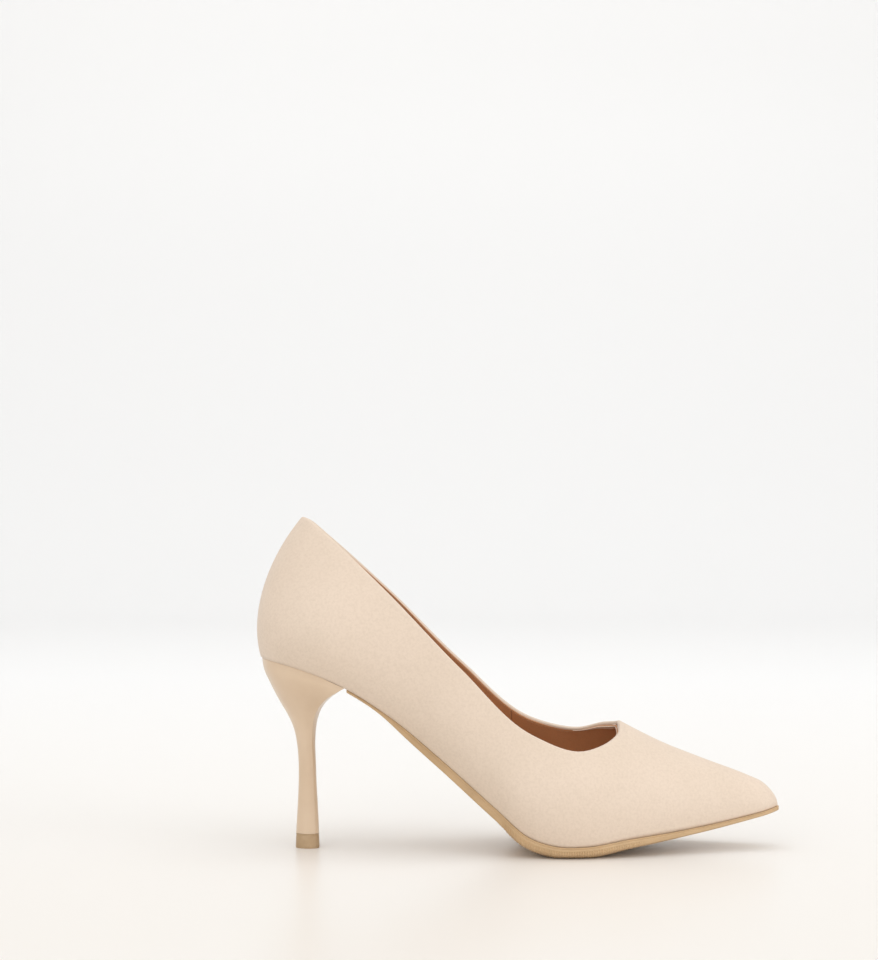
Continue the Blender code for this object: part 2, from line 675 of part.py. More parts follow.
# ---- outsole ----
def make_outsole():
    tip = TOE_X + smooth(OUTSOLE_LIP, TOE_X)
    turn = np.linspace(*STATION_RANGE, STATIONS) * math.pi / 2
    run = tip - OUTSOLE_BACK_X
    stations = [tip - run * (1 - math.cos(a)) for a in turn]
    rings = []
    for x in stations:
        inner = TOE_X - (tip - x) * (TOE_X - OUTSOLE_BACK_X) / run
        lip = smooth(OUTSOLE_LIP, x)
        reach = {side: half_width(side, inner) + lip for side in SIDES}
        top = level(x, -GAP)
        edge = max(EDGE_FLOOR, level(x, -GAP - smooth(OUTSOLE_EDGE_T, x)))
        base = max(0.0, level(x, -GAP - smooth(OUTSOLE_T, x)))
        half_ring = {}
        for side in SIDES:
            full = reach[side]
            rim = max(full - EDGE_ROUND, full * MIDDLE_SHARE)
            middle = (edge + base * 3) / 4
            half_ring[side] = [
                (x, side * full, top),
                (x, side * full, edge),
                (x, side * (full + rim) / 2, middle),
                (x, side * rim, base),
            ]
        rings.append(half_ring[LATERAL] + half_ring[MEDIAL][::-1])
    return loft("outsole", "outsole_rubber", rings)


# ---- heel ----
def lean(table, height_table, q):
    """How much longer a level step through the heel's wall is than the wall's thickness, for one profile."""
    step = 0.01
    low, high = max(q - step, 0), min(q + step, 1)
    run = smooth(table, high) - smooth(table, low)
    rise = smooth(height_table, high) - smooth(height_table, low)
    return min(math.hypot(run, rise) / rise, MOST_LEAN)


def share_above(q, start):
    return min(max((q - start) / (1 - start), 0), 1)


def heel_ring(q, inset=0.0):
    """Ring of the heel at q: round at the back, with a corner on each side of the breast."""
    back = smooth(HEEL_BACK, q) + inset * lean(HEEL_BACK, HEEL_BACK_Z, q)
    front = smooth(HEEL_FRONT, q) - inset * lean(HEEL_FRONT, HEEL_FRONT_Z, q)
    width = smooth(HEEL_HALF_WIDTH, q) - inset * lean(HEEL_HALF_WIDTH, HEEL_BACK_Z, q)
    spread = share_above(q, SPREAD_FROM)
    widest, corner, corner_width = (
        low + (high - low) * spread for low, high in (HEEL_WIDEST, HEEL_CORNER, HEEL_CORNER_WIDTH)
    )
    half = [(1, corner_width * FACE_SHARE), (corner, corner_width)]
    for step in range(ROUND_STEPS, 0, -1):
        turn = (step - 0.5) / (ROUND_STEPS - 0.5) * math.pi / 2
        half.append((widest * (1 - math.cos(turn)), math.sin(turn)))
    ring = [(u, LATERAL * w) for u, w in half] + [(u, MEDIAL * w) for u, w in half[::-1]]
    ends = np.array([smooth(HEEL_BACK, q), smooth(HEEL_FRONT, q)])
    heights = np.array([smooth(HEEL_BACK_Z, q), smooth(HEEL_FRONT_Z, q)])
    seat = share_above(q, SEAT_FROM) ** 2  # the seat follows the bottom line, the stem is straight across
    points = []
    for u, w in ring:
        x = back + (front - back) * u
        bow = level(x, -GAP) - np.interp(x, ends, level(ends, -GAP))
        points.append((x, width * w, np.interp(x, ends, heights) + bow * seat))
    return np.array(points)


def make_heel():
    steps = np.linspace(0, 1, HEEL_RINGS + 1)
    core = loft("heel_core", "heel_plastic", [heel_ring(q, CORE_INSET) for q in steps])
    outer = [heel_ring(q) for q in steps]
    inner = [heel_ring(q, COVER_T) for q in steps]
    loft("heel_cover", "heel_film", outer + inner[::-1], closed=True)
    foot, face = heel_ring(0, -TOP_PIECE_FLARE), heel_ring(0)
    foot[:, 2], face[:, 2] = 0, TOP_PIECE_TOP_Z
    top_piece = loft("top_piece", "tip_plastic", [foot, face])
    tube_low, tube_high = TUBE_Z
    tube = [
        (TUBE_BORE_R, tube_low), (TUBE_R, tube_low), (TUBE_R, tube_high), (TUBE_BORE_R, tube_high),
        (TUBE_BORE_R, tube_low),
    ]
    place = (STEM_X, 0, 0)
    turned("heel_dowel_tube", "steel", tube, place)
    turned("top_piece_pin", "steel", rod_profile(PIN_R, *PIN_Z), place)
    cut(core, turned("tube_bore", "steel", rod_profile(TUBE_R, 0, tube_high, FINE_GAP), place))
    cut(top_piece, turned("pin_socket", "steel", rod_profile(PIN_R, PIN_Z[0], 12, FINE_GAP), place))
    return core


def make_fasteners(core, shank, shank_board):
    under_head = BOARD_FLOOR + BOARD_T - HEAD_SINK
    fasteners = [("heel_screw", SCREW, (SCREW["x"], 0))]
    fasteners += [(f"heel_nail_{n}", NAIL, place) for n, place in enumerate(NAIL_PLACES, 1)]
    for name, spec, (x, y) in fasteners:
        place, tilt = on_board(x, y, under_head - spec["head_t"]), seat_tilt(x)
        turned(name, "steel", headed_profile(spec), place, tilt)
        cutter = turned(f"{name}_hole", "steel", headed_profile(spec, 0.2, 3.0), place, tilt)
        cut(core, cutter)
        cut(shank_board, cutter)
        if name == "heel_screw":
            cut(shank, cutter)


def stand_at_origin():
    """Moves everything so that the middle of the shoe's box is over the origin."""
    bpy.context.view_layer.update()
    graph = bpy.context.evaluated_depsgraph_get()
    corners = []
    for obj in bpy.context.scene.objects:
        if obj.type == "MESH" and not obj.hide_render:
            made = obj.evaluated_get(graph)
            corners += [made.matrix_world @ vert.co for vert in made.data.vertices]
    low, high = (np.array([pick(c[k] for c in corners) for k in range(2)]) for pick in (min, max))
    shift = -(low + high) / 2
    for obj in bpy.context.scene.objects:
        obj.location.x += shift[0]
        obj.location.y += shift[1]
    print("moved by, mm:", shift / MM)


def main():
    for obj in list(bpy.data.objects):
        bpy.data.objects.remove(obj)
    make_upper()
    make_layer("toe_puff", "stiffener", FRONT_OPEN, PUFF_END, STIFFENER_OFFSET, STIFFENER_T, BOARD_FLOOR)
    make_layer(
        "heel_counter", "stiffener", COUNTER_START, 2, STIFFENER_OFFSET, STIFFENER_T, BOARD_FLOOR, clear=6.0
    )
    make_layer(
        "topline_tape", "tape", 1, 2, STIFFENER_OFFSET, STIFFENER_T, BOARD_FLOOR, 1, TAPE_EDGE, TAPE_WIDTH
    )
    leather = "lining_leather", LINING_OFFSET, LINING_T, BOARD_FLOOR
    make_layer("vamp_lining", leather[0], FRONT_OPEN, LINING_JOINT, *leather[1:])
    make_layer("quarter_lining", leather[0], LINING_JOINT + 0.003, 2, *leather[1:])
    make_layer("heel_grip", leather[0], GRIP_START, 2, GRIP_OFFSET, GRIP_T, SOCK_FLOOR + 3, clear=4.0)
    shank, shank_board = make_bottom_layers()
    make_outsole()
    core = make_heel()
    make_fasteners(core, shank, shank_board)
    stand_at_origin()


main()
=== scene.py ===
import math

import bmesh
import bpy
import numpy as np
from mathutils import Matrix, Vector


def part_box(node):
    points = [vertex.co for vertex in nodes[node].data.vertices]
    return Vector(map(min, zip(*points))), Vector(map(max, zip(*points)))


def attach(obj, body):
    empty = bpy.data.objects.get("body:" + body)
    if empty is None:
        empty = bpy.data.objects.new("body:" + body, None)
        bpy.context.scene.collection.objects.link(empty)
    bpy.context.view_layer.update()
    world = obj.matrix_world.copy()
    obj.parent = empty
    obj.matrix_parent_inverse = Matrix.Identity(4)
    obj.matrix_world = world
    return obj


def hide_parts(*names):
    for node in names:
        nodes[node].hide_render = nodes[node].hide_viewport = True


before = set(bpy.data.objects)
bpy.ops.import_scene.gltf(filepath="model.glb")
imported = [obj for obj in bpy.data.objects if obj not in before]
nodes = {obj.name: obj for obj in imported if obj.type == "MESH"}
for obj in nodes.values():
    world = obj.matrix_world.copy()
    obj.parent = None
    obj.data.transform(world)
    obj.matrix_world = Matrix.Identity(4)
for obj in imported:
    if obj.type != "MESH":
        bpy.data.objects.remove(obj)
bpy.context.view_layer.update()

sides = (-1, 1)  # the outer and the inner side of the foot, as the sign of Y


# The shoe is drawn in millimetres from the back of its heel, as its last is.
# The steel tube in the heel says where that is in the frame.
tubeLow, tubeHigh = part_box("heel_dowel_tube")
lastPlace = {"stemX": 23.15, "scale": 0.001}
originX = (tubeLow[0] + tubeHigh[0]) / 2 / lastPlace["scale"] - lastPlace["stemX"]
originY = (tubeLow[1] + tubeHigh[1]) / 2 / lastPlace["scale"]


def toFrame(bm):
    bmesh.ops.translate(bm, vec=(originX, originY, 0), verts=bm.verts)
    bmesh.ops.scale(bm, vec=(lastPlace["scale"],) * 3, verts=bm.verts)


def smoothCurve(knots, values, at):
    spans = np.diff(knots)[:, None]
    rises = np.diff(values, axis=0) / spans
    inner = (rises[:-1] * spans[1:] + rises[1:] * spans[:-1]) / (spans[:-1] + spans[1:])
    slopes = np.vstack([rises[:1], inner, rises[-1:]])
    at = np.clip(at, knots[0], knots[-1])
    k = np.clip(np.searchsorted(knots, at, side="right") - 1, 0, len(knots) - 2)
    span = (knots[k + 1] - knots[k])[:, None]
    t = ((at - knots[k]) / span[:, 0])[:, None]
    return (values[k] * (2 * t**3 - 3 * t**2 + 1) + slopes[k] * span * (t**3 - 2 * t**2 + t)
            + values[k + 1] * (3 * t**2 - 2 * t**3) + slopes[k + 1] * span * (t**3 - t**2))


def along(table, x):
    table = np.array(table, float)
    at = np.atleast_1d(np.asarray(x, float))
    found = smoothCurve(table[:, 0], table[:, 1:], at)[:, 0]
    return found if np.ndim(x) else float(found[0])


def ease(low, high, x):
    t = np.clip((np.asarray(x, float) - low) / (high - low), 0, 1)
    return t * t * (3 - 2 * t)


def roundedEnd(distance, radius):
    inside = 1 - np.clip(np.asarray(distance, float) / radius, 0, 1)
    return np.sqrt(1 - inside**2)


def unit(v):
    return v / np.linalg.norm(v)


def unitRows(rows):
    return rows / np.linalg.norm(rows, axis=1)[:, None]


def cubic(a, b, c, d, t):
    return a * (1 - t)**3 + 3 * b * t * (1 - t)**2 + 3 * c * t**2 * (1 - t) + d * t**3


# The last the shoe is made on. X, Y and Z are in millimetres, and a share runs from 0 to 1.
last = {
    "toeX": 235.0, "heelX": 2.2, "seatX": 32.0, "seatShare": 0.79, "throat": (163.6, 57.1), "noseRound": 9.0,
    "bottom": [(2.2, 86.2), (20, 82.0), (38, 75.0), (60, 61.3), (85, 40.8), (108, 20.8), (121, 9.8),
               (132, 6.0), (146, 5.4), (165, 8.0), (190, 10.8), (212, 14.2), (228, 17.5), (235, 19.2)],
    "ridgeRise": [(115, 74.0), (125, 72.5), (140, 65.5), (152, 57.4), (163.6, 49.2), (180, 39.0),
                  (201, 27.8),
                  (218, 18.6), (228, 12.4), (235, 8.2)],
    "ridgeY": [(115, 4.0), (163.6, 4.0), (200, 2.6), (235, 1.0)],
    "archLean": [(115, 26), (140, 20), (163.6, 16), (214, 9), (235, 4)],
    "archLow": 0.43, "archTop": {-1: 0.29, 1: 0.26},
    "halfWidth": {
        -1: [(2, 24.6), (32, 23.8), (52, 22.6), (70, 22.0), (84, 23.6), (100, 27.4), (118, 32.2),
             (136, 35.0), (150, 34.0), (170, 28.6), (195, 19.2), (218, 11.4), (235, 6.6)],
        1: [(2, 24.6), (32, 23.8), (48, 21.4), (62, 17.4), (76, 13.8), (90, 12.6), (101, 14.6), (112, 21.4),
            (122, 29.6), (134, 34.0), (150, 34.4), (170, 29.8), (195, 20.6), (218, 12.4), (235, 7.0)]},
    "topline": {
        -1: [(163.6, -4, 57.1), (162.2, 11.0, 52.7), (156.4, 18.4, 49.2), (145.0, 25.2, 46.4),
             (124.0, 28.3, 53.6),
             (92.5, 28.4, 82.5), (61.0, 23.2, 114.9), (34.0, 12.2, 140.1), (24.2, 6.6, 148.0),
             (20.9, 0, 149.4)],
        1: [(163.6, 4, 57.1), (162.2, 10.0, 56.3), (157.6, 16.2, 55.4), (146.5, 24.4, 52.1),
            (126.0, 28.2, 56.1),
            (93.0, 28.0, 82.6), (60.5, 22.6, 114.8), (34.0, 12.4, 139.3), (24.2, 6.6, 147.7),
            (20.9, 0, 149.4)]},
    "ribFoot": [(0, 176.0), (0.05, 166.0), (0.10, 156.3), (0.168, 143.5), (0.28, 121.5), (0.486, 87.5),
                (0.70, 52.0), (0.79, 32.0)],
    "vampTo": 1.10, "quarterFrom": 1.30,
    "leanLow": {
        -1: [(1, 20), (1.3, 32), (1.5, 40), (1.7, 46), (1.8, 45), (1.9, 34), (2, 14)],
        1: [(1, 20), (1.22, 30), (1.32, 50), (1.42, 62), (1.52, 62), (1.62, 55), (1.72, 49), (1.8, 45),
            (1.9, 34),
            (2, 14)]},
    "leanTop": {
        -1: [(1, 60), (1.17, 34), (1.28, 20), (1.49, 13), (1.7, 17), (1.86, 27), (2, 40)],
        1: [(1, 60), (1.17, 39), (1.28, 26), (1.49, 20), (1.7, 20), (1.86, 27), (2, 40)]},
    "pullLow": {
        -1: [(1, 0.42), (1.28, 0.43), (1.5, 0.41), (1.75, 0.40), (2, 0.317)],
        1: [(1, 0.42), (1.28, 0.45), (1.45, 0.52), (1.6, 0.48), (1.78, 0.40), (2, 0.317)]},
    "pullTop": [(1, 0.36), (1.28, 0.39), (1.75, 0.40), (2, 0.367)],
}


def bottom(x):
    return along(last["bottom"], x)


def fall(x):
    return (bottom(np.asarray(x) + 0.5) - bottom(np.asarray(x) - 0.5))


def level(x, height):
    return bottom(x) + height * np.sqrt(1 + fall(x)**2)


def halfWidth(side, x):
    ends = (roundedEnd(np.asarray(x) - last["heelX"], last["seatX"] - last["heelX"])
            * roundedEnd(last["toeX"] - np.asarray(x), last["noseRound"]))
    return along(last["halfWidth"][side], x) * ends


def ridge(x):
    return bottom(x) + along(last["ridgeRise"], x) * roundedEnd(last["toeX"] - x, last["noseRound"])


def denseTopline(side):
    points = np.array(last["topline"][side], float)
    mirror = np.array([1, -1, 1])
    ahead = points[1] * mirror + (0, 2 * points[0][1], 0)
    points = np.vstack([ahead, points, points[-2] * mirror])
    knots = np.concatenate([[0], np.cumsum(np.linalg.norm(np.diff(points, axis=0), axis=1))])
    found = smoothCurve(knots, points, np.linspace(knots[1], knots[-2], 400))
    run = np.concatenate([[0], np.cumsum(np.linalg.norm(np.diff(found, axis=0), axis=1))])
    return found, run / run[-1]


toplines = {side: denseTopline(side) for side in sides}


def topline(side, share):
    points, run = toplines[side]
    x, y, z = (np.interp(share, run, points[:, k]) for k in range(3))
    return np.array([x, side * y, z])


def arch(side, x, t):
    footY, footZ = side * halfWidth(side, x), bottom(x)
    ridgeY = along(last["ridgeY"], x) * roundedEnd(last["toeX"] - x, last["noseRound"])
    ridgeZ = ridge(x)
    chord = np.hypot(ridgeY - footY, ridgeZ - footZ)
    lean = np.radians(along(last["archLean"], x))
    low, high = chord * last["archLow"], chord * last["archTop"][side]
    y = cubic(footY, footY + side * low * np.sin(lean), ridgeY + side * high, ridgeY, t)
    z = cubic(footZ, footZ + low * np.cos(lean), ridgeZ, ridgeZ, t)
    return np.stack([x, y, z], axis=1)


def footX(share):
    turn = max(share - last["seatShare"], 0) / (1 - last["seatShare"]) * math.pi / 2
    seat = last["seatX"] - (last["seatX"] - last["heelX"]) * math.sin(turn)
    return along(last["ribFoot"], share) if share < last["seatShare"] else seat


def onArches(side, p, t):
    if p <= 1:
        back = 1 - math.cos(p * math.pi / 2)
        ends = (last["ribFoot"][0][1], last["throat"][0])
        lowX, topX = (last["toeX"] - (last["toeX"] - end) * back for end in ends)
        return lowX + (topX - lowX) * t, t
    top = topline(side, p - 1)
    shares = np.linspace(0, 1, 201)
    heights = arch(side, np.full(201, top[0]), shares)[:, 2]
    return footX(p - 1) + (top[0] - footX(p - 1)) * t, t * np.interp(top[2], heights, shares)


def quarterPoints(side, p, t):
    x = footX(p - 1)
    foot, top = np.array([x, side * halfWidth(side, x), bottom(x)]), topline(side, p - 1)
    away = unit(np.array([x - last["seatX"], foot[1], 0])) if x < last["seatX"] else np.array([0.0, side, 0])
    up = np.array([0, 0, 1.0])
    leanLow, leanTop = (math.radians(along(last[name][side], p)) for name in ("leanLow", "leanTop"))
    chord = np.linalg.norm(top - foot)
    low, high = chord * along(last["pullLow"][side], p), chord * along(last["pullTop"], p)
    bulge = foot + low * (away * math.sin(leanLow) + up * math.cos(leanLow))
    hollow = top + high * (away * math.sin(leanTop) - up * math.cos(leanTop))
    return cubic(foot, bulge, hollow, top, t[:, None])


def ribPoints(side, p, t):
    share = float(ease(last["vampTo"], last["quarterFrom"], p))
    points = arch(side, *onArches(side, p, t)) if share < 1 else 0
    own = quarterPoints(side, p, t) if share else 0
    return points * (1 - share) + own * share


def ribNormals(side, p, t):
    step = 1e-3
    share = float(ease(last["vampTo"], last["quarterFrom"], p))
    total = np.zeros((len(t), 3))
    if share < 1:
        x, climb = onArches(side, max(p, 0.02), t)
        climb = np.clip(climb, step, 1)
        forwards = arch(side, x + step, climb) - arch(side, x - step, climb)
        upwards = arch(side, x, climb) - arch(side, x, climb - step)
        total += (1 - share) * unitRows(np.cross(upwards, forwards) * side)
    if share:
        first = min(p, 2 - step)
        ahead = quarterPoints(side, first + step, t) - quarterPoints(side, first, t)
        upwards = (quarterPoints(side, p, np.minimum(t + step, 1))
                   - quarterPoints(side, p, np.minimum(t, 1 - step)))
        total += share * unitRows(np.cross(ahead, upwards) * side)
    if p <= 1:
        total[t > 1 - 1e-6, 1] = 0
    if p > 2 - step:
        total[:, 1] = 0
    return unitRows(total)


# The topline at place p: its point, the way out of the leather, and the way off its edge.
def edgeFrame(side, p):
    share = p - 1
    top = topline(side, share)
    run = topline(side, min(share + 0.004, 1)) - topline(side, max(share - 0.004, 0))
    if share < 0.004 or share > 0.996:
        run = np.array([0, side if share < 0.5 else -side, 0.0])
    out = ribNormals(side, p, np.array([1.0]))[0]
    off = unit(np.cross(out, run) * side)
    return top, out, off


# A sheet through rows of points: the first is drawn, and each next one is extruded from it.
def extrudeRows(bm, rows):
    verts = [bmesh.ops.create_vert(bm, co=point)["vert"][0] for point in rows[0]]
    edges = [bm.edges.new(pair) for pair in zip(verts, verts[1:])]
    for row in rows[1:]:
        made = bmesh.ops.extrude_edge_only(bm, edges=edges)["geom"]
        fresh = {v for v in made if isinstance(v, bmesh.types.BMVert)}
        verts = [next(e.other_vert(v) for e in v.link_edges if e.other_vert(v) in fresh) for v in verts]
        for vert, point in zip(verts, row):
            vert.co = point
        edges = [bm.edges.get(pair) for pair in zip(verts, verts[1:])]


def finishPiece(name, bm, material, replaced=(), sharp=None):
    toFrame(bm)
    mesh = bpy.data.meshes.new(name)
    bm.to_mesh(mesh)
    bm.free()
    mesh.shade_smooth()
    if sharp:
        mesh.set_sharp_from_angle(angle=math.radians(sharp))
    piece = bpy.data.objects.new(name, mesh)
    bpy.context.scene.collection.objects.link(piece)
    mesh.materials.append(material)
    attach(piece, "root")
    if replaced:
        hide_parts(*replaced)
    return piece


# Both halves of a layer, joined along the ridge and the back, then given their thickness.
def leatherSheet(name, halves, material, replaced, thickness):
    bm = bmesh.new()
    for rows in halves:
        extrudeRows(bm, rows)
    bmesh.ops.remove_doubles(bm, verts=bm.verts, dist=0.02)
    bmesh.ops.dissolve_degenerate(bm, edges=bm.edges, dist=0.001)
    bmesh.ops.recalc_face_normals(bm, faces=bm.faces)
    centre = Vector((100, 0, 60))
    if sum(face.normal.dot((face.calc_center_median() - centre).normalized()) for face in bm.faces) < 0:
        bmesh.ops.reverse_faces(bm, faces=bm.faces)
    piece = finishPiece(name, bm, material, replaced)
    solid = piece.modifiers.new("thickness", "SOLIDIFY")
    solid.thickness = thickness * lastPlace["scale"]
    solid.offset = -1  # inwards
    solid.use_even_offset = False
    solid.use_quality_normals = True
    return piece


# Short ways to add nodes to one material.
class Nodes:
    def __init__(self, name, colour, roughness, **sockets):
        self.material = bpy.data.materials.new(name)
        self.material.use_nodes = True
        self.tree = self.material.node_tree
        self.shader = self.tree.nodes["Principled BSDF"]
        self.set(self.shader, {"Base Color": (*colour, 1), "Roughness": roughness, **sockets})
        self.coords = self.tree.nodes.new("ShaderNodeTexCoord").outputs["Object"]

    def set(self, node, values):
        for key, value in values.items():
            node.inputs[key].default_value = value

    def link(self, a, b):
        self.tree.links.new(a, b)

    def stretched(self, scale, turn=(0, 0, 0)):
        mapping = self.tree.nodes.new("ShaderNodeMapping")
        self.set(mapping, {"Scale": scale, "Rotation": turn})
        self.link(self.coords, mapping.inputs["Vector"])
        return mapping.outputs["Vector"]

    def noise(self, scale, detail=3, roughness=0.5, vector=None):
        node = self.tree.nodes.new("ShaderNodeTexNoise")
        self.set(node, {"Scale": scale, "Detail": detail, "Roughness": roughness})
        self.link(vector or self.coords, node.inputs["Vector"])
        return node.outputs["Fac"]

    def cells(self, scale, feature="F1", vector=None):
        node = self.tree.nodes.new("ShaderNodeTexVoronoi")
        node.feature = feature
        self.set(node, {"Scale": scale})
        self.link(vector or self.coords, node.inputs["Vector"])
        return node.outputs["Distance"]

    def waves(self, scale, distortion=0.0, vector=None, direction="X"):
        node = self.tree.nodes.new("ShaderNodeTexWave")
        node.bands_direction = direction
        self.set(node, {"Scale": scale, "Distortion": distortion, "Detail": 2, "Detail Scale": 2})
        self.link(vector or self.coords, node.inputs["Vector"])
        return node.outputs["Fac"]

    def ramp(self, factor, low, high, fromValue=0.0, toValue=1.0):
        node = self.tree.nodes.new("ShaderNodeValToRGB")
        node.color_ramp.elements[0].position = fromValue
        node.color_ramp.elements[1].position = toValue
        node.color_ramp.elements[0].color = (*low, 1)
        node.color_ramp.elements[1].color = (*high, 1)
        self.link(factor, node.inputs["Fac"])
        return node.outputs["Color"]

    def range(self, factor, low, high):
        node = self.tree.nodes.new("ShaderNodeMapRange")
        self.set(node, {"To Min": low, "To Max": high})
        self.link(factor, node.inputs["Value"])
        return node.outputs["Result"]

    def mix(self, factor, a, b, how="MIX"):
        node = self.tree.nodes.new("ShaderNodeMix")
        node.data_type = "RGBA"
        node.blend_type = how
        if isinstance(factor, float):
            node.inputs["Factor"].default_value = factor
        else:
            self.link(factor, node.inputs["Factor"])
        self.link(a, node.inputs["A"])
        self.link(b, node.inputs["B"])
        return node.outputs["Result"]

    # Layers of (height, strength, distance in metres), one over another.
    def bump(self, *layers):
        normal = None
        for height, strength, distance in layers:
            node = self.tree.nodes.new("ShaderNodeBump")
            self.set(node, {"Strength": strength, "Distance": distance})
            self.link(height, node.inputs["Height"])
            if normal:
                self.link(normal, node.inputs["Normal"])
            normal = node.outputs["Normal"]
        self.link(normal, self.shader.inputs["Normal"])


def nudeLeather():
    look = {"dark": (0.715, 0.59, 0.475), "light": (0.75, 0.62, 0.505), "pore": 1500, "crease": 420}
    n = Nodes("nudeLeather", look["light"], 0.5, **{"Specular IOR Level": 0.4, "Sheen Weight": 0.12,
              "Sheen Roughness": 0.4, "Sheen Tint": (1, 0.93, 0.86, 1)})
    cloud, fine = n.noise(28, 4), n.noise(900, 3, 0.6)
    tone = n.ramp(cloud, look["dark"], look["light"], 0.25, 0.6)
    speck = n.ramp(fine, (0.93, 0.92, 0.91), (1, 1, 1), 0.3, 0.6)
    n.link(n.mix(1.0, tone, speck, "MULTIPLY"), n.shader.inputs["Base Color"])
    n.link(n.range(n.noise(140, 4), 0.42, 0.58), n.shader.inputs["Roughness"])
    n.bump((n.cells(look["pore"], "DISTANCE_TO_EDGE"), 0.22, 0.00008),
           (n.noise(look["crease"], 4, 0.6), 0.25, 0.0001), (n.noise(45, 2), 0.12, 0.0004))
    return n.material


def liningLeather(name, dark, light):
    n = Nodes(name, light, 0.55, **{"Specular IOR Level": 0.35, "Sheen Weight": 0.05})
    tone = n.ramp(n.noise(36, 4), dark, light, 0.3, 0.65)
    n.link(n.mix(1.0, tone, n.ramp(n.cells(1100), (0.86, 0.84, 0.82), (1, 1, 1), 0.0, 0.35), "MULTIPLY"),
           n.shader.inputs["Base Color"])
    n.link(n.range(n.noise(220, 4), 0.45, 0.65), n.shader.inputs["Roughness"])
    n.bump((n.cells(1100), 0.3, 0.0001), (n.noise(260, 4), 0.2, 0.0002))
    return n.material


def heelFilm():
    n = Nodes("heelFilm", (0.70, 0.54, 0.40), 0.3, **{"Specular IOR Level": 0.5, "Coat Weight": 0.25,
              "Coat Roughness": 0.18})
    n.link(n.ramp(n.noise(40, 4), (0.655, 0.49, 0.34), (0.715, 0.55, 0.395), 0.3, 0.65),
           n.shader.inputs["Base Color"])
    n.link(n.range(n.noise(160, 4), 0.24, 0.38), n.shader.inputs["Roughness"])
    n.bump((n.noise(900, 3, 0.6), 0.10, 0.00005), (n.noise(60, 2), 0.08, 0.0003))
    return n.material


def soleRubber(name, dark, light, rough):
    n = Nodes(name, light, rough, **{"Specular IOR Level": 0.4})
    tone = n.ramp(n.noise(30, 5), dark, light, 0.3, 0.7)
    scuffs = n.noise(90, 5, 0.7, n.stretched((0.35, 1.6, 1)))
    n.link(n.mix(1.0, tone, n.ramp(scuffs, (0.88, 0.87, 0.86), (1, 1, 1), 0.3, 0.6), "MULTIPLY"),
           n.shader.inputs["Base Color"])
    n.link(n.range(scuffs, rough - 0.1, rough + 0.14), n.shader.inputs["Roughness"])
    n.bump((n.noise(1300, 2), 0.15, 0.00006), (scuffs, 0.1, 0.00015))
    return n.material


def tipPlastic():
    n = Nodes("tipPlastic", (0.46, 0.32, 0.19), 0.42, **{"Specular IOR Level": 0.45})
    n.link(n.ramp(n.noise(220, 4), (0.42, 0.285, 0.16), (0.50, 0.35, 0.21), 0.3, 0.7),
           n.shader.inputs["Base Color"])
    n.link(n.range(n.noise(500, 4), 0.34, 0.52), n.shader.inputs["Roughness"])
    n.bump((n.noise(1800, 3), 0.2, 0.00005), (n.waves(300, 1.5, direction="Z"), 0.05, 0.00004))
    return n.material


def thread(name, colour):
    n = Nodes(name, colour, 0.6, **{"Sheen Weight": 0.3})
    twist = n.waves(1500, 0.5, n.stretched((1, 1, 1), (0, 0.6, 0.6)))
    n.link(n.ramp(twist, tuple(c * 0.8 for c in colour), colour), n.shader.inputs["Base Color"])
    n.bump((twist, 0.4, 0.0001))
    return n.material


# Boards, felts and steel inside the shoe.
def plainStock(name, colour, rough, metal=0.0, grain=600, streak=(1, 1, 1)):
    n = Nodes(name, colour, rough, **{"Metallic": metal})
    fibres = n.noise(grain, 5, 0.6, n.stretched(streak))
    n.link(n.ramp(fibres, tuple(c * 0.82 for c in colour), colour, 0.3, 0.65), n.shader.inputs["Base Color"])
    n.link(n.range(fibres, rough - 0.08, rough + 0.08), n.shader.inputs["Roughness"])
    n.bump((fibres, 0.3, 0.0001))
    return n.material


leather = nudeLeather()
lining = liningLeather("tanLining", (0.46, 0.22, 0.10), (0.55, 0.27, 0.13))
sock = liningLeather("sockLeather", (0.50, 0.27, 0.14), (0.58, 0.32, 0.17))
suede = liningLeather("gripSuede", (0.36, 0.20, 0.11), (0.44, 0.26, 0.15))
nudeThread = thread("nudeThread", (0.78, 0.66, 0.54))
brownThread = thread("brownThread", (0.50, 0.27, 0.14))
print("materials ready")


upperCut = {
    "vampRibs": 26, "quarterRibs": 74, "wallRows": 34, "foldRadius": 1.15, "foldSteps": 11, "flap": 0.2,
    "thickness": 0.85, "throatTurn": (1.07, 1.0), "margin": 9.0, "marginShare": 0.6, "toeFan": 20,
    "featherRound": 0.5,
    "seamDepth": 0.55, "seamWidth": 0.42, "seamRaise": 0.14, "seamRaiseAt": 1.5, "seamRaiseWidth": 0.8,
    "seamSpan": (45, 30), "seamFade": (0.86, 1), "seamFadeBy": 0.7, "seamOnFold": 0.3,
    "slantFrom": 0.93, "foldFit": 1.04, "settleFrom": 0.6,
}
upperCut["places"] = np.concatenate([
    np.linspace(0, 0.985, upperCut["vampRibs"]),
    1 + np.linspace(0, 0.975, upperCut["quarterRibs"]) ** 1.06,
    1 + np.array([0.981, 0.986, 0.9895, 0.992, 0.994, 0.996, 0.998, 1.0]),
])


def marginPoint(side, foot):
    x = min(max(foot[0], last["seatX"]), last["toeX"] - upperCut["toeFan"])
    middle = (halfWidth(1, foot[0]) - halfWidth(-1, foot[0])) / 2
    inwards = np.array([x, middle, foot[2]]) - foot
    reach = np.linalg.norm(inwards)
    point = foot + inwards * min(upperCut["margin"] / reach, upperCut["marginShare"])
    point[2] = bottom(point[0])
    return point, unit(inwards)


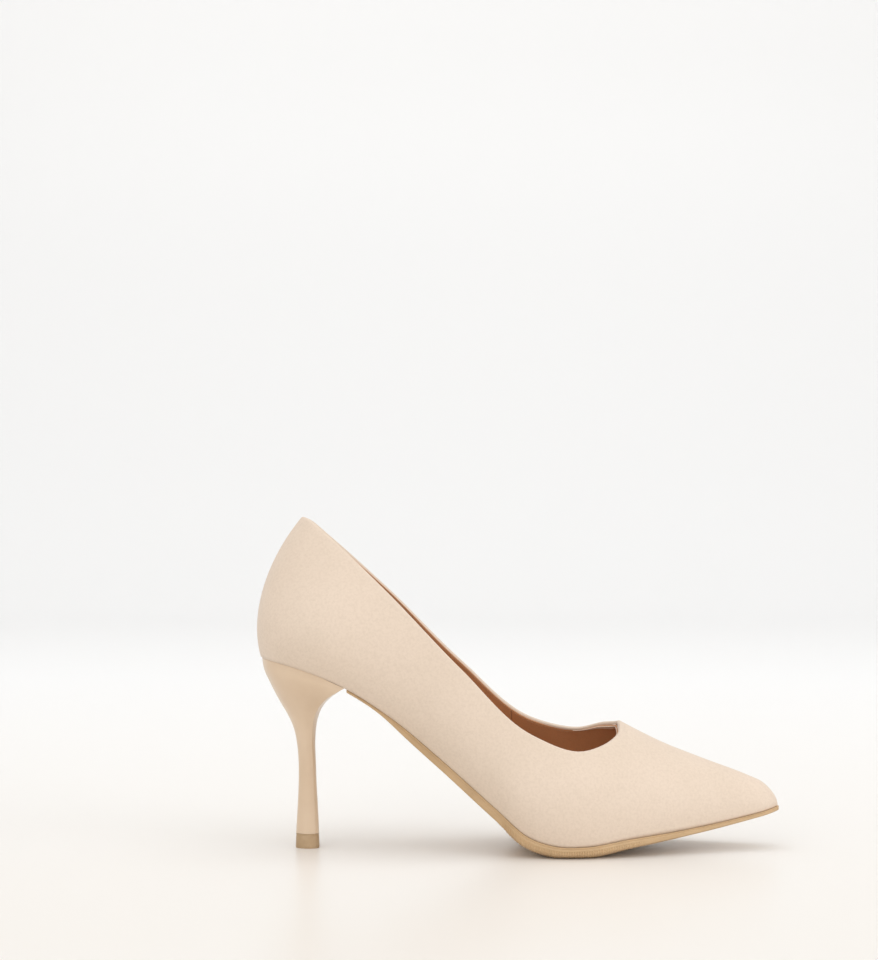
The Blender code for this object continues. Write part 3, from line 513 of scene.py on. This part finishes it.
# How far the back seam pulls the leather in, with a slight rise on both sides of it.
def seamDip(points):
    away = np.abs(points[:, 1])
    groove = upperCut["seamDepth"] * np.exp(-(away / upperCut["seamWidth"]) ** 2)
    rise = upperCut["seamRaise"] * np.exp(-((away - upperCut["seamRaiseAt"]) / upperCut["seamRaiseWidth"]) ** 2)
    return (groove - rise) * ease(*upperCut["seamSpan"], points[:, 0])


def upperRow(side, p):
    t = np.linspace(0, 1, upperCut["wallRows"] + 1)
    wall, normals = ribPoints(side, p, t), ribNormals(side, p, t)
    margin, inwards = marginPoint(side, wall[0])
    edge = wall[0] + inwards * upperCut["featherRound"]
    fade = 1 - upperCut["seamFadeBy"] * ease(*upperCut["seamFade"], t)
    wall = wall - normals * (seamDip(wall) * fade)[:, None]
    if p < 1:
        return np.vstack([margin, edge, wall])
    top, out, off = edgeFrame(side, p)
    radius = upperCut["foldRadius"]
    run = np.concatenate([[0], np.cumsum(np.linalg.norm(np.diff(wall, axis=0), axis=1))])
    slant = unit(top - ribPoints(side, p, np.array([upperCut["slantFrom"]]))[0])
    slant = slant / max(slant.dot(off), 0.5)  # along the rib, one step for each step off the edge
    at = np.linspace(0, run[-1] - radius * np.linalg.norm(slant) * upperCut["foldFit"], len(wall))
    wall = np.stack([np.interp(at, run, wall[:, k]) for k in range(3)], axis=1)
    slant = slant + (off - slant) * float(ease(*upperCut["throatTurn"], p))
    end = top - slant * radius * upperCut["foldFit"]
    wall += (end - wall[-1]) * ease(upperCut["settleFrom"], 1, t)[:, None]
    turns = np.linspace(0, math.pi, upperCut["foldSteps"])
    arc = [top - out * radius * (1 - math.cos(a)) - slant * radius * (1 - math.sin(a)) for a in turns]
    flap = [arc[-1] - slant * upperCut["flap"]]
    dip = seamDip(np.array([top]))[0] * upperCut["seamOnFold"]
    return np.vstack([margin, edge, wall, np.array(arc[1:] + flap) - out * dip])


def makeUpper():
    halves = []
    for side in sides:
        vamp = [upperRow(side, p) for p in upperCut["places"][upperCut["places"] < 1]]
        quarter = [upperRow(side, p) for p in upperCut["places"][upperCut["places"] >= 1]]
        vamp.append(quarter[0][:len(vamp[0])])
        halves += [vamp, quarter]
    leatherSheet("upperLeather", halves, leather, ("upper",), upperCut["thickness"])


makeUpper()
print("upper done")


def layerRow(side, p, offset, floor, rows, clear=0.0):
    t = np.linspace(0, 1, 121)
    points = ribPoints(side, p, t) - ribNormals(side, p, t) * offset
    x = points[:, 0]
    height = (points[:, 2] - bottom(x)) / np.sqrt(1 + fall(x)**2)
    first = int(np.argmax(height > floor))
    if first:
        k = (floor - height[first - 1]) / (height[first] - height[first - 1])
        points = np.vstack([points[first - 1] + (points[first] - points[first - 1]) * k, points[first:]])
    run = np.concatenate([[0], np.cumsum(np.linalg.norm(np.diff(points, axis=0), axis=1))])
    at = np.linspace(0, run[-1] - clear, rows + 1)
    return np.stack([np.interp(at, run, points[:, k]) for k in range(3)], axis=1)


linings = {
    "vampLining": {"span": (1 / 3, 1 + 7 / 23), "offset": 2.5, "thickness": 0.7, "floor": 1.8, "ribs": 44,
                   "rows": 26, "clear": 0.35, "replaces": ("vamp_lining",)},
    "quarterLining": {"span": (1 + 7 / 23 + 0.0008, 2), "offset": 2.5, "thickness": 0.7, "floor": 1.8,
                      "ribs": 64, "rows": 26, "clear": 0.35, "replaces": ("quarter_lining",)},
    "heelGrip": {"span": (1 + 20 / 23, 2), "offset": 3.8, "thickness": 0.5, "floor": 9.0, "ribs": 20,
                 "rows": 24, "clear": 4.0, "replaces": ("heel_grip",)},
}
liningEdge = {"width": 0.16, "segments": 2}


def roundEdges(piece, width, segments=2, angle=50):
    bevel = piece.modifiers.new("edges", "BEVEL")
    bevel.width = width * lastPlace["scale"]
    bevel.segments = segments
    bevel.limit_method = "ANGLE"
    bevel.angle_limit = math.radians(angle)
    bevel.use_clamp_overlap = True


def makeLining(name, cut, material):
    places = np.linspace(*cut["span"], cut["ribs"])
    halves = [[layerRow(side, p, cut["offset"], cut["floor"], cut["rows"], cut["clear"]) for p in places]
              for side in sides]
    piece = leatherSheet(name, halves, material, cut["replaces"], cut["thickness"])
    roundEdges(piece, **liningEdge)


facing = {
    "to": 1.15, "ribs": 26, "rows": 6, "width": 2.7, "end": 0.12, "offset": 3.25, "thickness": 0.35,
    "clear": 0.2, "round": 0.1,
}


# The strip of upper leather inside the throat, which narrows out along both quarters.
def makeThroatFacing():
    halves = []
    for side in sides:
        rows = []
        for p in np.linspace(1, facing["to"], facing["ribs"]):
            width = facing["width"] * (1 - float(ease(1, facing["to"], p))) + facing["end"]
            points = layerRow(side, p, facing["offset"], linings["vampLining"]["floor"], 60, facing["clear"])
            run = np.concatenate([[0], np.cumsum(np.linalg.norm(np.diff(points, axis=0), axis=1))])
            at = np.linspace(run[-1] - width, run[-1], facing["rows"])
            rows.append(np.stack([np.interp(at, run, points[:, k]) for k in range(3)], axis=1))
        halves.append(rows)
    strip = leatherSheet("throatFacing", halves, leather, (), facing["thickness"])
    roundEdges(strip, facing["round"])


makeThroatFacing()
makeLining("vampLining", linings["vampLining"], lining)
makeLining("quarterLining", linings["quarterLining"], lining)
makeLining("heelGrip", linings["heelGrip"], suede)
print("linings done")


insoleCut = {"back": 7.5, "front": 227.7, "rows": 110, "across": 25, "crowding": 0.6, "endGap": 0.4}
sockCut = {"edge": 3.5, "height": 6.0, "thickness": 0.65, "inset": 0.25, "lineInset": 3.0,
           "lineDepth": 0.132, "lineWidth": 0.45, "raise": 0.02}
cushionCut = {"edge": 4.3, "height": 3.9, "thickness": 1.6, "inset": 0.4, "cellPitch": 9.0, "cellDepth": 0.09,
              "cellsFrom": 4}


def outlineAt(edge, height):
    feet = {}
    for side in sides:
        found = np.array([layerRow(side, p, edge, height, 1)[0] for p in np.linspace(0.2, 2, 120)])
        feet[side] = found[np.argsort(found[:, 0])]
    return feet


# Rows across an insole layer from its back to its front. relief(x, ys, fromEdge) lowers its face.
def insoleRows(edge, height, inset, relief):
    feet = outlineAt(edge, height)
    turns = np.linspace(0, math.pi, insoleCut["rows"])
    rows = []
    for x in insoleCut["back"] + (insoleCut["front"] - insoleCut["back"]) * (1 - np.cos(turns)) / 2:
        low, high = (np.interp(x, feet[side][:, 0], feet[side][:, 1]) - side * inset for side in sides)
        shares = (1 - np.cos(np.linspace(0, math.pi, insoleCut["across"]))) / 2
        even = np.linspace(0, 1, insoleCut["across"])
        ys = low + (high - low) * (shares * insoleCut["crowding"] + even * (1 - insoleCut["crowding"]))
        fromEnd = min(x - insoleCut["back"], insoleCut["front"] - x) + insoleCut["endGap"]
        fromEdge = np.minimum(np.minimum(ys - low, high - ys), fromEnd)
        z = level(x, height) - relief(x, ys, fromEdge)
        rows.append(np.stack([np.full(len(ys), x), ys, z], axis=1))
    return rows


def sockRelief(x, ys, fromEdge):
    line = np.exp(-((fromEdge - sockCut["lineInset"]) / sockCut["lineWidth"]) ** 2)
    return sockCut["lineDepth"] * line - sockCut["raise"]


def cushionRelief(x, ys, fromEdge):
    turn = math.pi / cushionCut["cellPitch"]
    cells = np.abs(np.sin((x + ys) * turn) * np.sin((x - ys) * turn))
    return cushionCut["cellDepth"] * (1 - np.sqrt(cells)) * ease(0, cushionCut["cellsFrom"], fromEdge)


def makeInsole(name, cut, relief, material, replaced):
    bm = bmesh.new()
    extrudeRows(bm, insoleRows(cut["edge"], cut["height"], cut["inset"], relief))
    bmesh.ops.recalc_face_normals(bm, faces=bm.faces)
    if sum(face.normal.z for face in bm.faces) < 0:
        bmesh.ops.reverse_faces(bm, faces=bm.faces)
    piece = finishPiece(name, bm, material, replaced)
    solid = piece.modifiers.new("thickness", "SOLIDIFY")
    solid.thickness = cut["thickness"] * lastPlace["scale"]
    solid.offset = 1
    roundEdges(piece, cut["thickness"] * 0.3, 3)
    return piece


makeInsole("sockLining", sockCut, sockRelief, sock, ("sock_lining",))
foamMaterial = plainStock("latexFoam", (0.80, 0.74, 0.58), 0.85, grain=900)
foamPad = makeInsole("insoleCushion", cushionCut, cushionRelief, foamMaterial, ("insole_cushion",))
print("insole done")


# A skin over closed rings of points, each one extruded from the ring before it.
def addRings(bm, rings, closed=False):
    count = len(rings[0])
    verts = bmesh.ops.create_circle(bm, segments=count, radius=1)["verts"]
    for vert, place in zip(verts, rings[0]):
        vert.co = place
    edges = [bm.edges.get((verts[k], verts[(k + 1) % count])) for k in range(count)]
    ends = [edges]
    for ring in rings[1:]:
        made = bmesh.ops.extrude_edge_only(bm, edges=edges)["geom"]
        fresh = {v for v in made if isinstance(v, bmesh.types.BMVert)}
        verts = [next(e.other_vert(v) for e in v.link_edges if e.other_vert(v) in fresh) for v in verts]
        for vert, place in zip(verts, ring):
            vert.co = place
        edges = [bm.edges.get((verts[k], verts[(k + 1) % count])) for k in range(count)]
    ends.append(edges)
    if closed:
        bmesh.ops.bridge_loops(bm, edges=ends[0] + ends[1])
    else:
        for loop in ends:
            bmesh.ops.edgenet_fill(bm, edges=loop)
        caps = [face for face in bm.faces if len(face.verts) > 4]
        bmesh.ops.triangulate(bm, faces=caps)
    bmesh.ops.recalc_face_normals(bm, faces=bm.faces)
    if bm.calc_volume(signed=True) < 0:
        bmesh.ops.reverse_faces(bm, faces=bm.faces)


soleCut = {
    "backX": 41.6, "gap": 0.1, "rim": 7.0,
    "lip": [(43, -0.3), (90, 0), (125, 0.5), (200, 0.7), (235, 0.9)],
    "middleT": [(43, 1.1), (56, 1.5), (66, 3.0), (85, 3.8), (110, 4.4), (126, 5.3), (152, 5.3), (166, 4.6),
                (186, 3.3), (208, 2.4), (235, 1.7)],
    "edgeT": [(43, 1.0), (56, 1.3), (66, 2.7), (85, 3.4), (110, 3.7), (126, 3.6), (140, 3.3), (166, 3.2),
              (186, 2.5), (208, 1.8), (235, 1.3)],
    "grooveAt": 0.24, "grooveDepth": 0.28, "grooveWidth": 0.09,
    "ribSpan": (110, 172), "ribPitch": 1.1, "ribDepth": 0.38, "ribFrom": 0.5,
    "ribFade": (0.6, 3), "ribSoft": 0.06, "edgeRows": 15, "topRows": 7, "topShare": 0.9,
    "under": 0.3, "edgeFloor": 0.6, "rimShare": 0.45, "mostCut": 0.3, "bend": 0.35,
    "lowRound": (0.35, 0.86, 0.14), "topRound": (0.2, 0.08),
    "treadPeak": 103.0, "treadEdge": {-1: 112.0, 1: 118.5}, "treadHalf": 27, "treadBend": 0.8,
    "treadStep": 0.8, "treadShare": 0.35, "treadBias": 0.35, "treadSoft": 0.25, "treadFade": 2,
    "treadLine": 0.35, "treadLip": 0.6, "treadRibs": 0.6,
    "stations": 130, "fineSpan": (101.0, 176.0),
}


def soleRing(x, inner):
    lip = along(soleCut["lip"], x)
    top = level(x, -soleCut["gap"])
    edge = max(soleCut["edgeFloor"], level(x, -soleCut["under"] - along(soleCut["edgeT"], x)))
    base = max(0.0, level(x, -soleCut["under"] - along(soleCut["middleT"], x)))
    low, high = soleCut["ribSpan"]
    behind, ahead = soleCut["ribFade"]
    inRibs = float(ease(low - behind, low + behind, x) * ease(high + ahead, high - ahead, x))
    ribs = (0.5 - 0.5 * math.cos(x / soleCut["ribPitch"] * math.tau)) * inRibs * soleCut["ribDepth"]
    ribsFrom, ribsSoft = soleCut["ribFrom"], soleCut["ribSoft"]
    lowRound, lowRoundFrom, lowRoundOver = soleCut["lowRound"]
    topRound, topRoundTo = soleCut["topRound"]
    half = {}
    for side in sides:
        full = halfWidth(side, inner) + lip
        rim = max(full - soleCut["rim"], full * soleCut["rimShare"])
        points = []
        for share in np.linspace(0, 1, soleCut["edgeRows"]):
            fromGroove = (share - soleCut["grooveAt"]) / soleCut["grooveWidth"]
            dip = soleCut["grooveDepth"] * math.exp(-fromGroove ** 2)
            rounding = (lowRound * max(share - lowRoundFrom, 0) / lowRoundOver
                        + topRound * max(topRoundTo - share, 0) / topRoundTo)
            ribbed = ribs * float(ease(ribsFrom - ribsSoft, ribsFrom + ribsSoft, share))
            y = full - min(dip + rounding + ribbed, full * soleCut["mostCut"])
            points.append((x, side * y, top + (edge - top) * share))
        bend = soleCut["bend"]
        middle = (edge + base * 3) / 4
        for k in np.linspace(0.1, 1, 9):
            y = full - bend + (rim - full + bend) * k
            z = (1 - k)**2 * edge + 2 * k * (1 - k) * (middle * 2 - (edge + base) / 2) + k**2 * base
            points.append((x, side * y, z))
        for y in np.linspace(rim, 0, 11)[1:]:
            points.append((x, side * y, base))
        for k, (px, py, pz) in enumerate(points[soleCut["edgeRows"]:], soleCut["edgeRows"]):
            reach = soleCut["treadEdge"][side] - soleCut["treadPeak"]
            outwards = min(abs(py) / soleCut["treadHalf"], 1) ** soleCut["treadBend"]
            border = soleCut["treadPeak"] + reach * outwards
            soft = soleCut["treadSoft"]
            step = float(ease(border - soft, border + soft, x)) - soleCut["treadBias"]
            line = math.exp(-((x - border) / soleCut["treadLine"]) ** 2)
            lift = (-soleCut["treadStep"] * soleCut["treadShare"] * step
                    + soleCut["treadStep"] * soleCut["treadLip"] * line + ribs * soleCut["treadRibs"])
            points[k] = (px, py, max(pz + lift * min(abs(full - abs(py)) / soleCut["treadFade"], 1), 0.0))
        half[side] = points
    across = (halfWidth(side, inner) * soleCut["topShare"] * side for side in sides)
    topRow = [(x, y, top) for y in np.linspace(*across, soleCut["topRows"])]
    return half[-1] + half[1][::-1][1:] + topRow[::-1]


def makeOutsole():
    tip = last["toeX"] + along(soleCut["lip"], last["toeX"])
    run = tip - soleCut["backX"]
    turns = np.linspace(0.06, 1, soleCut["stations"]) * math.pi / 2
    stations = set(np.round(tip - run * (1 - np.cos(turns)), 3))
    low, high = soleCut["fineSpan"]
    stations = {x for x in stations if not low <= x <= high}
    stations |= set(np.arange(low, high, soleCut["ribPitch"] / 5))
    bm = bmesh.new()
    rings = []
    for x in sorted(map(float, stations), reverse=True):
        rings.append(soleRing(x, last["toeX"] - (tip - x) * (last["toeX"] - soleCut["backX"]) / run))
    addRings(bm, rings)
    finishPiece("outsole", bm, sole, ("outsole",), sharp=35)


sole = soleRubber("tanRubber", (0.53, 0.35, 0.185), (0.62, 0.43, 0.245), 0.45)
makeOutsole()
print("outsole done")


heelCut = {
    "back": [(0, 18.0), (0.1, 18.3), (0.2, 18.75), (0.3, 19.1), (0.4, 19.1), (0.5, 18.5), (0.6, 17.0),
             (0.7, 14.2),
             (0.8, 10.4), (0.9, 6.0), (0.96, 3.4), (1, 2.6)],
    "front": [(0, 28.3), (0.1, 28.1), (0.2, 27.7), (0.3, 27.2), (0.4, 26.9), (0.5, 26.6), (0.6, 26.9),
              (0.7, 28.0),
              (0.8, 30.4), (0.9, 34.8), (0.96, 38.8), (1, 41.2)],
    "width": [(0, 4.7), (0.1, 4.5), (0.2, 4.2), (0.3, 4.0), (0.4, 4.1), (0.5, 4.7), (0.6, 6.6), (0.7, 10.2),
              (0.8, 14.6), (0.9, 20.4), (0.96, 23.2), (1, 23.5)],
    "backZ": [(0, 6.6), (0.1, 12), (0.2, 20), (0.3, 29), (0.4, 38), (0.5, 46), (0.6, 53.5), (0.7, 60),
              (0.8, 66.5),
              (0.9, 75), (0.96, 81), (1, 85.8)],
    "frontZ": [(0, 6.6), (0.1, 12), (0.2, 20), (0.3, 29), (0.4, 38), (0.5, 46), (0.6, 53.2), (0.7, 59),
               (0.8, 64.2),
               (0.9, 68.9), (0.96, 71.6), (1, 73.1)],
    "widest": (0.60, 0.74), "corner": (0.85, 0.985), "cornerWidth": (0.86, 0.99), "flatShare": 0.45,
    "rings": 110, "roundSteps": 22, "thickness": 0.45, "lift": 0.2,
    "under": 0.3, "mostLean": 2.2, "spreadFrom": 0.5, "seatFrom": 0.75,
}


def lean(table, heights, q):
    low, high = max(q - 0.01, 0), min(q + 0.01, 1)
    run, rise = along(table, high) - along(table, low), along(heights, high) - along(heights, low)
    return min(math.hypot(run, rise) / rise, heelCut["mostLean"])


def shareAbove(q, start):
    return min(max((q - start) / (1 - start), 0), 1)


# One ring of the heel: round behind, with a corner on each side of a gently crowned breast.
def heelRing(q, inset=0.0):
    back = along(heelCut["back"], q) + inset * lean(heelCut["back"], heelCut["backZ"], q)
    front = along(heelCut["front"], q) - inset * lean(heelCut["front"], heelCut["frontZ"], q)
    width = along(heelCut["width"], q) - inset * lean(heelCut["width"], heelCut["backZ"], q)
    spread = shareAbove(q, heelCut["spreadFrom"])
    spans = (heelCut["widest"], heelCut["corner"], heelCut["cornerWidth"])
    widest, corner, cornerWidth = (low + (high - low) * spread for low, high in spans)
    flat = cornerWidth * heelCut["flatShare"]
    half = [(1, flat * k) for k in np.linspace(0.15, 1, 5)]
    half += [(1 + (corner - 1) * k**1.5, flat + (cornerWidth - flat) * k) for k in np.linspace(0.12, 0.9, 8)]
    turnTop = math.acos(max(1 - corner / widest, -1)) if corner < widest else math.pi / 2
    steps = heelCut["roundSteps"]
    half.append((corner, cornerWidth))
    for step in range(steps, 0, -1):
        turn = min((step - 0.5) / (steps - 0.5) * math.pi / 2, turnTop)
        half.append((widest * (1 - math.cos(turn)), math.sin(turn)))
    ring = [(u, -w) for u, w in half] + [(u, w) for u, w in half[::-1]]
    ends = np.array([along(heelCut["back"], q), along(heelCut["front"], q)])
    heights = np.array([along(heelCut["backZ"], q), along(heelCut["frontZ"], q)])
    seat = shareAbove(q, heelCut["seatFrom"]) ** 2  # the seat follows the bottom of the last
    us = np.array([u for u, w in ring])
    xs = back + (front - back) * us
    bows = level(xs, -heelCut["under"]) - np.interp(xs, ends, level(ends, -heelCut["under"]))
    zs = np.interp(xs, ends, heights) + (bows + heelCut["lift"]) * seat
    return np.stack([xs, width * np.array([w for u, w in ring]), zs], axis=1)


def makeHeel():
    steps = np.linspace(0, 1, heelCut["rings"])
    outer, inner = [heelRing(q) for q in steps], [heelRing(q, heelCut["thickness"]) for q in steps]
    bm = bmesh.new()
    addRings(bm, outer + inner[::-1], closed=True)
    finishPiece("heelCover", bm, film, ("heel_cover",), sharp=32)


film = heelFilm()
makeHeel()


tipCut = {"top": 6.5, "flare": 0.15, "bevel": 0.22, "groove": 0.12, "grooveZ": 5.6}


def makeTip():
    grooveZ, top = tipCut["grooveZ"], tipCut["top"]
    profile = [(0.0, -0.05), (0.0, 0.02), (tipCut["bevel"], tipCut["flare"]), (1.5, 0.13), (3.4, 0.06),
               (grooveZ - 0.3, 0.0), (grooveZ, -tipCut["groove"]), (grooveZ + 0.3, 0.0),
               (top - 0.1, 0.0), (top, -0.1)]
    rings = []
    for z, grow in profile:
        ring = heelRing(0, -grow)
        ring[:, 2] = z
        rings.append(ring)
    bm = bmesh.new()
    addRings(bm, rings)
    finishPiece("topPiece", bm, tip, ("top_piece",), sharp=40)


tip = tipPlastic()
makeTip()
print("heel done")


stitchCut = {"length": 1.5, "radius": 0.17, "topPitch": 2.1, "topBelow": 1.3, "backPitch": 1.7, "rings": 5,
             "sides": 6, "sink": 0.04, "backY": -0.55, "backSink": 0.08, "backShare": 0.9,
             "tacks": (0.9, -0.7, 0.7, -0.5), "tackLength": 1.4, "tackRadius": 0.14}


# One stitch: a small ball drawn long, lying along the seam.
def addStitch(bm, at, direction, out, length, radius):
    side = np.cross(out, direction)
    turn = Matrix([direction * length / 2, side * radius, out * radius * 0.8]).transposed().to_4x4()
    turn.translation = Vector(at)
    bmesh.ops.create_uvsphere(bm, u_segments=stitchCut["sides"], v_segments=stitchCut["rings"], radius=1,
                              matrix=turn @ Matrix.Rotation(math.pi / 2, 4, "Y"))


def toplineStitches():
    bm = bmesh.new()
    offset = linings["vampLining"]["offset"] + linings["vampLining"]["thickness"]
    for side in sides:
        points, run = toplines[side]
        length = np.sum(np.linalg.norm(np.diff(points, axis=0), axis=1))
        count = int(length / stitchCut["topPitch"])
        for share in (np.arange(count) + 0.5) / count:
            rows = [layerRow(side, 1 + float(at), offset, linings["vampLining"]["floor"], 1,
                             stitchCut["topBelow"])[1]
                    for at in (max(share - 0.003, 0), min(share + 0.003, 1))]
            inwards = -edgeFrame(side, 1 + float(share))[1]
            middle = (rows[0] + rows[1]) / 2 + inwards * stitchCut["sink"]
            addStitch(bm, middle, unit(rows[1] - rows[0]), inwards, stitchCut["length"], stitchCut["radius"])
    finishPiece("toplineStitches", bm, brownThread)


def backStitches():
    bm = bmesh.new()
    t = np.linspace(0.02, 0.97, 400)
    points, normals = ribPoints(-1, 1.985, t), ribNormals(-1, 1.985, t)
    run = np.concatenate([[0], np.cumsum(np.linalg.norm(np.diff(points, axis=0), axis=1))])
    for at in np.arange(1.5, run[-1] - 1, stitchCut["backPitch"]):
        k = int(np.searchsorted(run, at))
        place = points[k].copy()
        place[1] = stitchCut["backY"]
        out = unit(normals[k] * (1, 0.2, 1))
        addStitch(bm, place - out * stitchCut["backSink"], unit(points[k] - points[k - 1] + (0, 0.05, 0)), out,
                  stitchCut["length"] * stitchCut["backShare"], stitchCut["radius"])
    for k, sway in enumerate(stitchCut["tacks"]):
        place = ribPoints(-1, 2, np.array([0.03 + 0.018 * k]))[0]
        out = ribNormals(-1, 2, np.array([0.03]))[0]
        addStitch(bm, place + out * 0.02 + (0, sway * 0.4, 0), unit(np.array([0, sway, 0.8])), out,
                  stitchCut["tackLength"], stitchCut["tackRadius"])
    finishPiece("backSeamStitches", bm, nudeThread)


toplineStitches()
backStitches()
print("stitches done")


# The hidden parts keep their own shapes and get finer materials.
steel = plainStock("brushedSteel", (0.55, 0.55, 0.54), 0.32, metal=1.0, grain=700, streak=(0.15, 2, 2))
nailSteel = plainStock("nailSteel", (0.60, 0.56, 0.48), 0.35, metal=1.0, grain=900)
board = plainStock("fibreBoard", (0.42, 0.30, 0.20), 0.8, grain=500, streak=(0.5, 1.5, 1))
cork = plainStock("corkFiller", (0.62, 0.42, 0.24), 0.85, grain=420)
stiff = plainStock("stiffener", (0.78, 0.74, 0.66), 0.75, grain=800)
tape = plainStock("nylonTape", (0.82, 0.80, 0.75), 0.6, grain=1200, streak=(2, 0.3, 2))
core = plainStock("heelCore", (0.74, 0.70, 0.62), 0.42, grain=400)
keptNodes = {
    "steel_shank": steel, "shank_rivet_1": nailSteel, "shank_rivet_2": nailSteel, "heel_screw": steel,
    "heel_nail_1": nailSteel, "heel_nail_2": nailSteel, "heel_nail_3": nailSteel, "heel_nail_4": nailSteel,
    "heel_dowel_tube": steel, "top_piece_pin": steel, "insole_shank_board": board,
    "insole_forepart_board": board, "forepart_filler": cork, "toe_puff": stiff, "heel_counter": stiff,
    "topline_tape": tape, "heel_core": core,
}
for name, material in keptNodes.items():
    for slot in nodes[name].material_slots:
        slot.material = material
print("kept parts dressed")


studio = {"floor": (0.83, 0.795, 0.75), "wall": (0.93, 0.93, 0.93), "blend": (-0.2, 0.9), "back": 1.6,
          "front": -9.0, "half": 9.0, "bend": 0.8, "height": 3.0, "world": (1, 0.995, 0.985, 1),
          "worldStrength": 0.8}


def makeStage():
    bm = bmesh.new()
    bendTurns = np.linspace(0, math.pi / 2, 17)
    profile = [(studio["front"], 0.0)]
    profile += [(studio["back"] + studio["bend"] * math.sin(a), studio["bend"] * (1 - math.cos(a)))
                for a in bendTurns]
    profile += [(studio["back"] + studio["bend"], studio["height"])]
    extrudeRows(bm, [[(x, y, z) for y, z in profile] for x in (-studio["half"], studio["half"])])
    bmesh.ops.recalc_face_normals(bm, faces=bm.faces)
    if sum(face.normal.z for face in bm.faces) < 0:
        bmesh.ops.reverse_faces(bm, faces=bm.faces)
    mesh = bpy.data.meshes.new("studioFloor")
    bm.to_mesh(mesh)
    bm.free()
    mesh.shade_smooth()
    floor = bpy.data.objects.new("studioFloor", mesh)
    bpy.context.scene.collection.objects.link(floor)
    n = Nodes("studioPaper", studio["floor"], 0.3, **{"Specular IOR Level": 0.3})
    n.link(n.range(n.noise(8, 3), 0.28, 0.34), n.shader.inputs["Roughness"])
    # The floor colour grades from a warm cream at the front to the pale wall colour behind. The cream is partly
    # the paper's own tone and partly painted warm glow near the shoe.
    split = n.tree.nodes.new("ShaderNodeSeparateXYZ")
    n.link(n.coords, split.inputs["Vector"])
    depth = n.tree.nodes.new("ShaderNodeMapRange")
    n.set(depth, {"From Min": studio["blend"][0], "From Max": studio["blend"][1]})
    n.link(split.outputs["Y"], depth.inputs["Value"])
    n.link(n.ramp(depth.outputs["Result"], studio["floor"], studio["wall"]), n.shader.inputs["Base Color"])
    mesh.materials.append(n.material)


def makeLight(name, place, aim, size, power, colour=(1, 1, 1)):
    light = bpy.data.lights.new(name, "AREA")
    light.shape = "RECTANGLE"
    light.size, light.size_y = size
    light.energy = power
    light.color = colour
    holder = bpy.data.objects.new(name, light)
    holder.location = place
    holder.rotation_euler = (Vector(aim) - Vector(place)).to_track_quat("-Z", "Y").to_euler()
    bpy.context.scene.collection.objects.link(holder)


lights = {
    "softTop": {"place": (0.0, -0.2, 1.9), "aim": (0, 0, 0.05), "size": (2.4, 2.0), "power": 10},
    "wallWash": {"place": (0, 0.2, 1.6), "aim": (0, 2.4, 0.6), "size": (2.6, 0.8), "power": 5},
    "softFront": {"place": (-0.9, -1.9, 1.1), "aim": (0, 0, 0.07), "size": (1.4, 1.4), "power": 9,
                  "colour": (1, 0.99, 0.97)},
    "sideRight": {"place": (1.5, -0.7, 0.55), "aim": (0, 0, 0.06), "size": (1.0, 1.0), "power": 6},
}
makeStage()
for name, setting in lights.items():
    makeLight(name, **setting)
world = bpy.data.worlds.new("studioWorld")
world.use_nodes = True
world.node_tree.nodes["Background"].inputs["Color"].default_value = studio["world"]
world.node_tree.nodes["Background"].inputs["Strength"].default_value = studio["worldStrength"]
bpy.context.scene.world = world
bpy.context.scene.view_settings.view_transform = "Standard"

cameraSet = {"place": (-0.03546, -1.03715, 0.1655), "lens": 86.25, "sensor": 36}
camera = bpy.data.cameras.new("camera")
camera.lens, camera.sensor_width = cameraSet["lens"], cameraSet["sensor"]
cameraHolder = bpy.data.objects.new("camera", camera)
cameraHolder.location = cameraSet["place"]
cameraHolder.rotation_euler = (math.pi / 2, 0, 0)
bpy.context.scene.collection.objects.link(cameraHolder)
bpy.context.scene.camera = cameraHolder
print("studio done")

bpy.context.view_layer.update()
